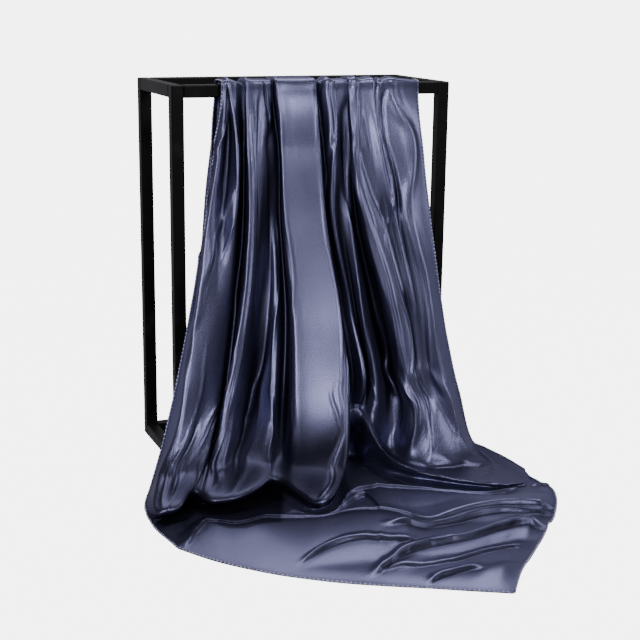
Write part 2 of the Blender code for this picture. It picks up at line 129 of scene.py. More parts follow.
class Graph:
    """A material's or a world's node graph, built by method calls."""

    def __init__(self, owner: "bpy.types.Material | bpy.types.World") -> None:
        """Start the graph of a material or world with no nodes.

        Args:
            owner: The material or world.
        """
        owner.use_nodes = True
        self.tree = owner.node_tree
        self.tree.nodes.clear()

    def node(self, kind: str, settings: "dict | None" = None, **sockets: object) -> bpy.types.Node:
        """Add a node.

        Args:
            kind: The node's type name, such as ShaderNodeBump.
            settings: Properties that are set first; "stops" are a colour ramp's (place, colour) pairs.
            sockets: Input sockets by name, with _ for a space, or by number as i0, i1 and so on.

        Returns:
            The node.
        """
        made = self.tree.nodes.new(kind)
        for name, setting in (settings or {}).items():
            if name == "stops":
                self._set_stops(made.color_ramp.elements, setting)
            else:
                setattr(made, name, setting)
        for name, given in sockets.items():
            key = int(name[1:]) if name[0] == "i" and name[1:].isdigit() else name.replace("_", " ")
            given = given.socket if isinstance(given, Value) else given
            if isinstance(given, bpy.types.NodeSocket):
                self.tree.links.new(given, made.inputs[key])
            else:
                made.inputs[key].default_value = given
        return made

    @staticmethod
    def _set_stops(elements: bpy.types.ColorRampElements, stops: "tuple[tuple[float, tuple], ...]") -> None:
        """Give a colour ramp its stops.

        Args:
            elements: The ramp's stops, two at first.
            stops: Pairs of place and colour, in order.
        """
        for _ in stops[2:]:
            elements.new(0.5)
        for element, (place, color) in zip(elements, stops):
            element.position = place
            element.color = color

    def value(self, kind: str, settings: "dict | None" = None, out: "int | str" = 0,
              **sockets: object) -> Value:
        """One output of a new node, given as for node, for use in expressions."""
        return Value(self, self.node(kind, settings, **sockets).outputs[out])

    def math(self, operation: str, *operands: "Value | float") -> Value:
        """The result of a Math node with its inputs in order."""
        named = {f"i{k}": operand for k, operand in enumerate(operands)}
        return self.value("ShaderNodeMath", {"operation": operation}, **named)

    def mix(self, factor: "Value | float", first: object, second: object) -> bpy.types.NodeSocket:
        """Two colours mixed, each a tuple or a socket; the factor is the share of the second."""
        return self.node("ShaderNodeMix", {"data_type": "RGBA"}, i0=factor, i6=first, i7=second).outputs[2]

    def noise(self, place: bpy.types.NodeSocket, scale: float, detail: float = 2.0) -> Value:
        """Noise between 0 and 1, with its scale in waves per unit of the coordinates."""
        return self.value("ShaderNodeTexNoise", out="Fac", Vector=place, Scale=scale, Detail=detail)

    def bump(self, height: Value, strength: float, distance: float) -> bpy.types.NodeSocket:
        """Normals roughened by a height from 0 to 1 over a distance in metres."""
        return self.node("ShaderNodeBump", Height=height, Strength=strength, Distance=distance).outputs[0]


# Finishes


class Finish:
    """What all finishes share: a material with one shader, whose sockets each finish gives."""

    name: str

    def sockets(self, graph: Graph) -> "dict[str, object]":
        """The values and links of the shader's sockets, by name, with the nodes behind them."""
        raise NotImplementedError

    def material(self) -> bpy.types.Material:
        """Make the finish's material.

        Returns:
            The material.
        """
        made = bpy.data.materials.new(self.name)
        graph = Graph(made)
        shader = graph.node("ShaderNodeBsdfPrincipled", **self.sockets(graph))
        graph.node("ShaderNodeOutputMaterial", Surface=shader.outputs[0])
        return made


@dataclass(frozen=True)
class Satin(Finish):
    """Slate-violet polyester satin, which shines softly and dims at once as it turns from the light."""

    name: str = "slate_satin"
    light: tuple = (0.160, 0.160, 0.285, 1.0)
    deep: tuple = (0.060, 0.060, 0.112, 1.0)
    # Colour of the painted shade, which the satin's colour is darkened towards in its folds.
    shaded: tuple = (0.012, 0.012, 0.024, 1.0)
    edge_tint: tuple = (0.58, 0.57, 0.69, 1.0)
    metallic: float = 0.9
    roughness: float = 0.35
    cloud_scale: float = 9.0
    slub_scale: tuple = (700.0, 60.0, 1.0)
    twill_pitch: float = 0.0016
    rib_share: float = 0.16
    rib_waver: float = 1.5
    relief: float = 0.5
    grain: float = 0.0006
    # How far the painted shade darkens the colour at its deepest.
    painted_shade_strength: float = 0.9

    def sockets(self, graph: Graph) -> "dict[str, object]":
        """Clouds, slubs, speckle and twill ribs on the cloth's own UV map, in metres of flat cloth.

        The shares of each in the relief, the colour and the roughness are the factors in their sums.

        Args:
            graph: The material's graph.

        Returns:
            The shader's sockets.
        """
        flat = graph.node("ShaderNodeUVMap", {"uv_map": FLAT_MAP}).outputs[0]
        clouds = graph.noise(flat, self.cloud_scale)
        drawn_out = graph.node("ShaderNodeMapping", Vector=flat, Scale=self.slub_scale).outputs[0]
        slubs = graph.noise(drawn_out, 1.0, 3.0)
        speckle = graph.noise(flat, 1 / self.twill_pitch, 1.0)
        ribs = graph.value("ShaderNodeTexWave", {"bands_direction": "DIAGONAL"}, "Fac", Vector=flat,
                           Scale=self.rib_share / self.twill_pitch, Distortion=self.rib_waver)
        bump = graph.bump(0.8 * speckle + 0.12 * ribs + 0.08 * slubs, self.relief, self.grain)
        # Painted shade: a point attribute that darkens the colour where the folds shade the cloth.
        painted_shade = graph.value("ShaderNodeAttribute", {"attribute_name": PAINTED_SHADE}, "Fac")
        mottle = 0.45 * clouds + 0.10 * slubs + 1.4 * (speckle - 0.35)
        color = graph.mix(mottle, self.deep, self.light)
        color = graph.mix(self.painted_shade_strength * painted_shade, color, self.shaded)
        rough = self.roughness + 0.10 * (speckle - 0.5) + 0.05 * (clouds - 0.5)
        return {"Base_Color": color, "Metallic": self.metallic, "Specular_Tint": self.edge_tint,
                "Roughness": rough, "Normal": bump}


@dataclass(frozen=True)
class Thread(Finish):
    """Matt sewing thread, a little paler than the satin."""

    name: str = "sewing_thread"
    color: tuple = (0.48, 0.48, 0.60, 1.0)
    paler: float = 1.6
    roughness: float = 0.62
    fibre_scale: float = 900.0
    relief: float = 0.4
    grain: float = 0.0002

    def sockets(self, graph: Graph) -> "dict[str, object]":
        """A fine mottle on Object coordinates.

        Args:
            graph: The material's graph.

        Returns:
            The shader's sockets.
        """
        place = graph.node("ShaderNodeTexCoord").outputs["Object"]
        mottle = graph.noise(place, self.fibre_scale)
        bump = graph.bump(mottle, self.relief, self.grain)
        pale = tuple(self.paler * c for c in self.color[:3]) + (1.0,)
        color = graph.mix(mottle, self.color, pale)
        return {"Base_Color": color, "Roughness": self.roughness, "Normal": bump}


@dataclass(frozen=True)
class BlackPaint(Finish):
    """Matt black powder coat with a faint orange-peel and a few rubbed spots."""

    name: str = "black_powder_coat"
    color: tuple = (0.0015, 0.0015, 0.0018, 1.0)
    rubbed: tuple = (0.006, 0.006, 0.0065, 1.0)
    roughness: float = 0.48
    specular: float = 0.12
    peel_scale: float = 900.0
    patch_scale: float = 22.0
    rubbed_from: float = 0.58
    rubbed_to: float = 0.72
    patch_roughness: float = 0.12
    relief: float = 0.25
    grain: float = 0.0002

    def sockets(self, graph: Graph) -> "dict[str, object]":
        """The peel and the patches of wear, on Object coordinates.

        Args:
            graph: The material's graph.

        Returns:
            The shader's sockets.
        """
        place = graph.node("ShaderNodeTexCoord").outputs["Object"]
        peel = graph.noise(place, self.peel_scale)
        patches = graph.noise(place, self.patch_scale, 4.0)
        wear = graph.value("ShaderNodeMapRange", Value=patches, i1=self.rubbed_from,
                           i2=self.rubbed_to)
        bump = graph.bump(peel, self.relief, self.grain)
        return {"Base_Color": graph.mix(wear, self.color, self.rubbed), "Specular_IOR_Level": self.specular,
                "Roughness": self.roughness + self.patch_roughness * (patches - 0.5), "Normal": bump}


@dataclass(frozen=True)
class PaleFloor(Finish):
    """A pale sheet for the studio floor, which glows evenly so that no light or shade falls on it."""

    name: str = "pale_floor"
    matt: tuple = (0.02, 0.02, 0.02, 1.0)
    roughness: float = 0.9
    color: tuple = (0.80, 0.80, 0.80, 1.0)
    glow: float = 5.6

    def sockets(self, graph: Graph) -> "dict[str, object]":
        """Constants alone, with the glow measured at its colour's level."""
        return {"Base_Color": self.matt, "Roughness": self.roughness, "Emission_Color": self.color,
                "Emission_Strength": self.glow / self.color[0]}


# Curves on arrays


def unit(vectors: np.ndarray) -> np.ndarray:
    """Vectors along the last axis, each brought to a length of one."""
    return vectors / np.maximum(np.linalg.norm(vectors, axis=-1, keepdims=True), TINY)


def placed(x: np.ndarray, y: "np.ndarray | float", z: "np.ndarray | float") -> np.ndarray:
    """Points from their coordinates, each an array or one number for all of them."""
    return np.stack(np.broadcast_arrays(x, y, z), axis=-1)


def smooth_step(t: np.ndarray) -> np.ndarray:
    """Ease from 0 to 1 as t goes from 0 to 1, level outside: 3 t squared less 2 t cubed."""
    t = np.clip(t, 0.0, 1.0)
    return t * t * (3 - 2 * t)


def eased_ends(place: np.ndarray, line: np.ndarray, fade: float) -> np.ndarray:
    """One along a line that runs down its second column, easing to nothing over the fade at both ends."""
    return smooth_step((place - line[0, 1]) / fade) * smooth_step((line[-1, 1] - place) / fade)


def bell(away: np.ndarray, width: "np.ndarray | float") -> np.ndarray:
    """A bell that falls off as exp(-(distance / width) squared)."""
    return np.exp(-(away / width) ** 2)


def reach_along(points: np.ndarray, axis: int) -> np.ndarray:
    """Distance of each point from the first one, along the rows or columns of points.

    Args:
        points: Points, with their coordinates on the last axis.
        axis: The axis that the points follow each other on.

    Returns:
        The distances.
    """
    step = np.linalg.norm(np.diff(points, axis=axis), axis=-1)
    return np.concatenate([np.zeros_like(step.take([0], axis)), np.cumsum(step, axis=axis)], axis=axis)


def reach_to(line: np.ndarray, plan: np.ndarray) -> np.ndarray:
    """Distance in plan from each point to the nearest point of a line.

    Args:
        line: Plan points.
        plan: Points in rows and columns.

    Returns:
        The distances.
    """
    nearest = np.full(plan.shape[:2], np.inf)
    for x, y in line:
        nearest = np.minimum(nearest, (plan[..., 0] - x) ** 2 + (plan[..., 1] - y) ** 2)
    return np.sqrt(nearest)


def read_along(at: np.ndarray, reach: np.ndarray, values: np.ndarray) -> np.ndarray:
    """Every column of some values, read in straight steps at new places along their reach."""
    return np.stack([np.interp(at, reach, column) for column in values.T], axis=-1)


def softened(values: np.ndarray, times: int, axis: int = 0) -> np.ndarray:
    """Values smoothed by repeated 1-2-1 means.

    Args:
        values: The values.
        times: How many means.
        axis: The axis that they run along.

    Returns:
        The smoother values.
    """
    values = np.moveaxis(values, axis, 0)
    for _ in range(times):
        padded = np.concatenate([values[:1], values, values[-1:]])
        values = (padded[:-2] + 2 * padded[1:-1] + padded[2:]) / 4
    return np.moveaxis(values, 0, axis)


def steady_slopes(s: np.ndarray, y: np.ndarray) -> np.ndarray:
    """Slopes of y over s that never overshoot: zero at a crest or valley, else the harmonic mean.

    Args:
        s: Places along the last axis.
        y: Values there.

    Returns:
        The slopes, in y's shape.
    """
    d = np.diff(y, axis=-1) / np.diff(s, axis=-1)
    left, right = d[..., :-1], d[..., 1:]
    same = left * right > 0
    inner = np.where(same, 2 * left * right / np.where(same, left + right, 1.0), 0.0)
    return np.concatenate([d[..., :1], inner, d[..., -1:]], axis=-1)


def hermite(values: np.ndarray, slopes: np.ndarray, k: "np.ndarray | int", h: np.ndarray,
            t: np.ndarray) -> np.ndarray:
    """The cubic through values k and k + 1 with their slopes.

    Args:
        values: The values.
        slopes: The slopes at them.
        k: The value that each step starts from.
        h: Length of the step.
        t: Share of the step, 0 to 1.

    Returns:
        The curve at t.
    """
    return ((1 + 2 * t) * (1 - t) ** 2 * values[k] + t * (1 - t) ** 2 * h * slopes[k]
            + t * t * (3 - 2 * t) * values[k + 1] - t * t * (1 - t) * h * slopes[k + 1])


def step_of(known: np.ndarray, at: np.ndarray) -> np.ndarray:
    """The step between rising known places that each place lies in."""
    return np.clip(np.searchsorted(known, at, side="right") - 1, 0, len(known) - 2)


def through(line: np.ndarray, at: np.ndarray) -> np.ndarray:
    """A smooth curve through known values that never overshoots them.

    Args:
        line: Pairs of a value and its place, with the places rising.
        at: Where to read the curve; it is level outside.

    Returns:
        The curve at those places.
    """
    values, known = np.asarray(line, dtype=float).T
    at = np.clip(at, known[0], known[-1])
    k = step_of(known, at)
    h = known[k + 1] - known[k]
    return hermite(values, steady_slopes(known, values), k, h, (at - known[k]) / h)


def filled(rows: np.ndarray, slopes: np.ndarray, reach: np.ndarray, counts: np.ndarray) -> np.ndarray:
    """Rows of points with cubics between them.

    Args:
        rows: Points in rows.
        slopes: Slopes at them, down the columns.
        reach: Distances from each row to the next.
        counts: Steps wanted between neighbouring rows.

    Returns:
        The finer rows.
    """
    pieces = [hermite(rows, slopes, k, reach[k], (np.arange(count) / count)[:, None, None])
              for k, count in enumerate(counts)]
    return np.concatenate(pieces + [rows[-1:]])


def across(lines: np.ndarray, counts: np.ndarray, roundness: float) -> np.ndarray:
    """Section curves through the fold lines: each passes a crest or valley level, with a round turn.

    Args:
        lines: Points, one row for each section and one column for each fold line.
        counts: Columns wanted between neighbouring fold lines.
        roundness: How fast a curve runs sideways at a fold, from 0 to 1.

    Returns:
        The sections' points.
    """
    reach = reach_along(lines, 1)
    end_x, slope_y, slope_z = (steady_slopes(reach, lines[..., k]) for k in range(3))
    slope_x = np.sqrt(np.maximum(roundness ** 2 - slope_y ** 2 - slope_z ** 2, LEAST_SIDEWAYS))
    slope_x[:, [0, -1]] = end_x[:, [0, -1]]
    slopes = placed(slope_x, slope_y, slope_z)
    gaps = np.linalg.norm(np.diff(lines, axis=1), axis=2)
    turned = filled(lines.transpose(1, 0, 2), slopes.transpose(1, 0, 2), gaps.T[..., None], counts)
    return turned.transpose(1, 0, 2)


def lengthwise(rows: np.ndarray, steps: np.ndarray) -> np.ndarray:
    """Rows between the given rows, on smooth curves down each column that never dip past its heights.

    Args:
        rows: Points, one row for each section.
        steps: Steps wanted between neighbouring sections.

    Returns:
        The finer rows.
    """
    reach = np.linalg.norm(np.diff(rows, axis=0), axis=2)[..., None]
    d = np.diff(rows, axis=0) / reach
    before, after = reach[:-1], reach[1:]
    inner = (d[:-1] * after + d[1:] * before) / (before + after)
    slopes = np.concatenate([d[:1], inner, d[-1:]])
    slopes[..., 2] = steady_slopes(reach_along(rows, 0).T, rows[..., 2].T).T
    return filled(rows, slopes, reach, steps)


def plan_curve(points: "tuple[tuple[float, float], ...]", share: np.ndarray) -> np.ndarray:
    """Points on a smooth plan curve at the given shares of its length.

    Args:
        points: Plan points that the curve passes.
        share: Shares of the length, 0 to 1.

    Returns:
        The points.
    """
    points = np.array(points, dtype=float)
    u = reach_along(points, 0)
    u /= u[-1]
    fine = np.linspace(0, 1, CURVE_POINTS)
    k = step_of(u, fine)
    h = (u[k + 1] - u[k])[:, None]
    curve = hermite(points, np.gradient(points, u, axis=0), k, h, (fine - u[k])[:, None] / h)
    run = reach_along(curve, 0)
    return read_along(share, run / run[-1], curve)


def grid_normals(grid: np.ndarray, times: int = 0) -> np.ndarray:
    """Unit normals on the face side of a grid: the mean of those of the cells round each point.

    Args:
        grid: Points in rows and columns.
        times: How often they are smoothed along the rows.

    Returns:
        The normals.
    """
    cell = unit(np.cross(grid[1:, 1:] - grid[:-1, :-1], grid[:-1, 1:] - grid[1:, :-1]))
    around = np.pad(cell, ((1, 1), (1, 1), (0, 0)), mode="edge")
    normal = unit(around[:-1, :-1] + around[:-1, 1:] + around[1:, :-1] + around[1:, 1:])
    return unit(softened(normal, times, axis=1)) if times else normal


# Mesh pieces


def quads_of(rows: int, columns: int, closed: bool = False) -> np.ndarray:
    """Corner numbers of a grid's cells.

    Args:
        rows: Rows of points.
        columns: Columns of points.
        closed: Whether the last column joins the first.

    Returns:
        Four numbers a cell, facing out on the grid's face side.
    """
    index = np.arange(rows * columns).reshape(rows, columns)
    if closed:
        index = np.concatenate([index, index[:, :1]], axis=1)
    cells = np.stack([index[:-1, :-1], index[1:, :-1], index[1:, 1:], index[:-1, 1:]], axis=-1)
    return cells.reshape(-1, 4)


def flat_floats(values: np.ndarray) -> np.ndarray:
    """Values as the one row of single floats that a mesh takes."""
    return np.ascontiguousarray(values, dtype=np.float32).ravel()


def mesh_piece(name: str, points: np.ndarray, faces: np.ndarray, material: bpy.types.Material,
               flat: "np.ndarray | None" = None) -> bpy.types.Object:
    """A smooth mesh object that rides on the frame.

    Args:
        name: The piece's name.
        points: Vertices in metres.
        faces: Corner numbers, four for each face.
        material: Its finish.
        flat: Each vertex's place on the flat cloth, where it has one.

    Returns:
        The object.
    """
    mesh = bpy.data.meshes.new(name)
    mesh.vertices.add(len(points))
    mesh.vertices.foreach_set("co", flat_floats(points))
    mesh.loops.add(faces.size)
    mesh.loops.foreach_set("vertex_index", np.ascontiguousarray(faces, dtype=np.int32).ravel())
    mesh.polygons.add(len(faces))
    mesh.polygons.foreach_set("loop_start", np.arange(0, faces.size, faces.shape[1], dtype=np.int32))
    mesh.update(calc_edges=True)
    mesh.shade_smooth()
    mesh.materials.append(material)
    if flat is not None:
        mesh.uv_layers.new(name=FLAT_MAP).data.foreach_set("uv", flat_floats(flat[faces.ravel()]))
    piece = bpy.data.objects.new(name, mesh)
    bpy.context.scene.collection.objects.link(piece)
    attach(piece, "root")
    return piece


def rings(side: np.ndarray, over: np.ndarray, sides: int) -> np.ndarray:
    """Round profiles of radius one: side times the cosine of the turn plus over times its sine.

    Args:
        side: One unit vector in the plane of each profile.
        over: The other, square to it.
        sides: Points round the profile.

    Returns:
        The points, in rows of one profile each.
    """
    turn = np.linspace(0, 2 * np.pi, sides, endpoint=False)[None, :, None]
    return np.cos(turn) * side[:, None] + np.sin(turn) * over[:, None]


def tube(path: np.ndarray, radius: np.ndarray, sides: int, least: float = 0.05,
         end: float = 1e-4) -> "tuple[np.ndarray, np.ndarray]":
    """A closed round profile carried along a path, with a point at each end.

    Each ring lies square to the path, on a side vector that is level wherever the path isn't upright.

    Args:
        path: Centre points.
        radius: Radius at each, in the path's units.
        sides: Points round the profile.
        least: The length of a level side vector below which the path counts as upright.
        end: The share of the radius that the closing rings at both ends keep.

    Returns:
        Vertices and faces.
    """
    run = unit(np.gradient(path, axis=0))
    side = np.cross(run, (0.0, 0.0, 1.0))
    upright = np.linalg.norm(side, axis=1, keepdims=True) < least
    side += np.where(upright, 1.0, 0.0) * np.array([1.0, 0.0, 0.0])
    side = unit(side - run * (side * run).sum(axis=1, keepdims=True))
    radius = np.concatenate([[end * radius[0]], radius[1:-1], [end * radius[-1]]])
    points = path[:, None] + radius[:, None, None] * rings(side, np.cross(side, run), sides)
    return points.reshape(-1, 3), quads_of(len(path), sides, closed=True)


# The scarf


class FoldLine(NamedTuple):
    """A fold line of the scarf, and where it lands.

    Across and out are its places across the frame and how far it stands out, at each height of LEVELS.  Heel
    is its last point on the fall and edge the front of its roll.  Tuck is how far it turns back under, and
    where it is negative the line runs on along the train.
    """

    name: str
    across: "tuple[float, ...]"
    out: "tuple[float, ...]"
    heel: "tuple[float, float, float]"
    edge: "tuple[float, float, float]"
    tuck: float


class BackLevel(NamedTuple):
    """The back drop at one height: its width, how even, how deep and how swayed its pleats are."""

    z: float
    spread: float
    even: float
    pleat: float
    sway: float


class TrainFold(NamedTuple):
    """A fold lying on the train: its height, its half-widths, its lap and its crest's line in the photograph.

    The lap is how far the crest leans over the cloth before it, and fade the pixels that its ends ease over.
    Dark is the painted shade under its crest, from 0 to 1, and band how far that shade reaches past its
    front.
    """

    name: str
    height: float
    front: float
    back: float
    lap: float
    line: "tuple[tuple[float, float], ...]"
    fade: float = 26.0
    dark: float = 0.75
    band: float = 12.0


class BackCrease(NamedTuple):
    """A narrow ridge down the back drop, beside a fold line, from the rail to a height."""

    line: str
    bottom: float
    offset: float
    height: float
    width: float


class PhotoCrease(NamedTuple):
    """A ridge, or a trough where its height is negative, whose line is read off the photograph.

    The line is in pixels of the photograph, and the two half-widths are in millimetres of cloth, on its left
    and right, or for one that runs across, on its upper and lower side.
    """

    name: str
    height: float
    left: float
    right: float
    line: "tuple[tuple[float, float], ...]"
    run: Run = Run.DOWN


LEVELS = (590.0, 500.0, 400.0, 250.0, 100.0)

FOLD_LINES = (
    FoldLine("left_edge", (-154, -168, -184, -217, -262), (6, 10, 16, 32, 65),
             (-304, -104, 10), (-323, -165, 8), -10),
    FoldLine("left_band", (-149, -166, -187, -215, -255), (8, 26, 40, 66, 110),
             (-284, -142, 50), (-310, -200, 13), 12),
    FoldLine("left_pocket", (-146, -148, -163, -187, -224), (4, 12, 30, 62, 100),
             (-256, -136, 50), (-290, -200, 14), 32),
    FoldLine("second_crest", (-144, -137, -149, -160, -198), (10, 30, 44, 50, 96),
             (-230, -138, 50), (-262, -166, 20), 34),
    FoldLine("second_valley", (-122, -122, -126, -146, -186), (2.5, 8, 14, 34, 80),
             (-219, -122, 52), (-250, -160, 21), 34),
    FoldLine("double_crest", (-116, -120, -124, -148, -197), (10, 32, 46, 76, 122),
             (-222, -148, 50), (-242, -174, 18), 34),
    FoldLine("double_panel", (-102, -109, -113, -137, -184), (8, 28, 41, 70, 116),
             (-207, -145, 50), (-230, -190, 15), 34),
    FoldLine("wide_valley", (-89, -84, -88, -102, -134), (8, 21, 19, 30, 75),
             (-168, -116, 50), (-200, -193, 16), 34),
    FoldLine("pinched_crest", (-83, -74, -74, -80, -110), (8, 10, 13, 44, 108),
             (-127, -140, 50), (-148, -174, 25), 34),
    FoldLine("panel_valley", (-74, -65, -64, -62, -87), (3, 8, 10, 32, 84),
             (-106, -126, 52), (-130, -163, 28), 30),
    FoldLine("panel_left_crest", (-70, -66, -67, -62, -80), (16, 33, 46, 76, 128),
             (-97, -160, 50), (-116, -182, 25), 26),
    FoldLine("panel_middle", (-42, -41, -34, -26, -44), (19, 35, 49, 82, 137),
             (-68, -176, 48), (-102, -226, 15), 14),
    FoldLine("panel_right_crest", (-11, -8, -4, 6, -4), (18, 34, 48, 84, 140),
             (-34, -190, 45), (-86, -246, 12), 14),
    FoldLine("slit_valley", (2, 8, 14, 38, 46), (3, 10, 14, 26, 50),
             (44, -48, 93), (42, -54, 86), 22),
    FoldLine("leaf_fold", (15, 18, 17, 48, 56), (9, 30, 34, 38, 62),
             (55, -54, 95), (53, -58, 89), 24),
    FoldLine("leaf_valley", (31, 36, 37, 58, 68), (6, 15, 14, 26, 50),
             (64, -54, 88), (60, -62, 80), 24),
    FoldLine("thin_crest", (41, 44, 51, 66, 80), (7, 12, 20, 42, 72),
             (72, -78, 72), (62, -100, 54), 24),
    FoldLine("dark_valley", (48, 52, 64, 94, 116), (6, 13, 10, 20, 50),
             (100, -86, 14), (73, -144, 31), 24),
    FoldLine("right_crest", (51, 53, 66, 104, 133), (10, 30, 42, 66, 96),
             (118, -128, 8), (99, -183, 21), 24),
    FoldLine("right_second_crest", (60, 62, 90, 128, 151), (8, 24, 38, 62, 92),
             (152, -148, 6), (136, -215, 16), 22),
    FoldLine("swag_pocket", (73, 82, 108, 140, 163), (7, 20, 34, 56, 84),
             (178, -152, 5), (160, -234, 14), 20),
    FoldLine("swag_crest", (91, 98, 118, 147, 171), (10, 30, 42, 58, 82),
             (206, -146, 5), (184, -250, 13), 18),
    FoldLine("swag_valley", (101, 110, 131, 159, 184), (4, 18, 33, 55, 79),
             (226, -134, 5), (210, -261, 12), 14),
    FoldLine("right_band", (128, 144, 149, 174, 199), (7, 26, 38, 62, 86),
             (245, -115, 5), (241, -262, 11), 12),
    FoldLine("right_edge", (172, 179, 191, 209, 235), (2, 10, 18, 36, 60),
             (265, -74, 8), (279, -205, 8), -10),
)

BACK_LEVELS = (
    BackLevel(95.0, 1.26, 1.0, 30.0, 5.0),
    BackLevel(210.0, 1.22, 1.0, 31.0, 3.0),
    BackLevel(340.0, 1.16, 0.95, 28.0, -2.0),
    BackLevel(460.0, 1.09, 0.75, 22.0, -1.0),
    BackLevel(550.0, 1.03, 0.35, 12.0, 0.0),
)

FRONT_HEM = ((-313, -291), (-283, -340), (-224, -409), (-138, -474), (-49, -523), (45, -574))

FIRST_LINE = ((166, 553), (183, 545), (192, 538), (200, 532), (207, 527), (213, 526), (222, 529), (232, 531),
              (243, 531), (262, 526), (290, 524), (310, 523), (330, 521), (350, 519), (370, 518), (390, 517),
              (410, 521), (430, 521), (450, 517), (470, 513), (490, 510), (510, 507), (530, 506), (575, 508))
FLAP_LINE = ((278, 526), (284, 519), (288, 512), (296, 508), (316, 510), (330, 508), (338, 505), (345, 500),
             (350, 495), (357, 491), (364, 490), (372, 491), (390, 492), (400, 493), (425, 495), (445, 497),
             (470, 498), (490, 498), (500, 495), (510, 492), (520, 489), (530, 487), (575, 486))
THIRD_LINE = ((366, 572), (390, 562), (400, 556), (415, 551), (430, 547), (445, 544), (460, 541), (475, 538),
              (490, 533), (505, 529), (520, 526), (540, 525), (570, 527))

TRAIN_FOLDS = (
    TrainFold("first_fold", 6, 9, 36, 2, FIRST_LINE, dark=0.65, band=55.0),
    TrainFold("under_first_fold", 8, 11, 9, 2, ((378, 535), (400, 531), (420, 528), (440, 523), (455, 521),
               (475, 516), (490, 514), (510, 511), (540, 511), (570, 513)), dark=0.85, band=18.0),
    TrainFold("second_fold", 6, 9, 14, 2, ((296, 565), (313, 558), (325, 554), (340, 550), (355, 548),
               (370, 547), (390, 547), (410, 547), (445, 547)), dark=0.8, band=16.0),
    TrainFold("third_fold", 10, 14, 24, 3, THIRD_LINE, dark=0.85, band=14.0),
    TrainFold("fourth_fold", 4, 7, 20, 1, ((372, 577), (400, 567), (420, 567), (440, 564), (460, 561),
               (475, 556), (490, 552), (500, 550), (540, 545)), dark=0.7, band=8.0),
    TrainFold("fifth_fold", 6, 10, 16, 1, ((424, 582), (440, 575), (455, 572), (465, 569), (475, 567),
               (488, 568)), fade=14.0, dark=0.85),
    TrainFold("flap_fold", 6, 9, 30, 3, FLAP_LINE, dark=0.4, band=26.0),
    TrainFold("left_swell", 18, 124, 60, 0, FIRST_LINE[:18]),
    TrainFold("middle_swell", 11, 80, 40, 0, FLAP_LINE[9:]),
    TrainFold("third_swell", 8, 46, 16, 0, THIRD_LINE[1:]),
    TrainFold("corner_swell", 5, 46, 24, 0, ((470, 576), (490, 571), (510, 568), (545, 562)), fade=20.0),
    TrainFold("inner_wave", 7, 9, 9, 2, ((318, 513), (335, 509), (345, 506), (352, 501), (358, 497),
               (366, 495), (373, 503), (382, 513), (392, 517)), fade=12.0, dark=0.4, band=6.0),
    TrainFold("tent_fold", 9, 12, 12, 4, ((350, 448), (358, 455), (365, 463), (375, 470), (390, 478),
               (405, 486), (420, 492)), fade=14.0, dark=0.3, band=6.0),
)

BACK_CREASES = (
    BackCrease("second_crest", 180, 3, 1.8, 2.4),
    BackCrease("double_crest", 120, 0, 2.2, 2.4),
    BackCrease("double_crest", 160, 8, 1.6, 2.0),
    BackCrease("panel_left_crest", 140, 0, 1.6, 3.0),
    BackCrease("panel_right_crest", 110, 2, 2.2, 2.6),
    BackCrease("leaf_fold", 260, 0, 1.8, 2.2),
    BackCrease("right_crest", 130, 0, 2.2, 2.6),
    BackCrease("swag_crest", 200, 4, 1.8, 2.4),
    BackCrease("right_band", 150, 0, 1.6, 3.0),
)

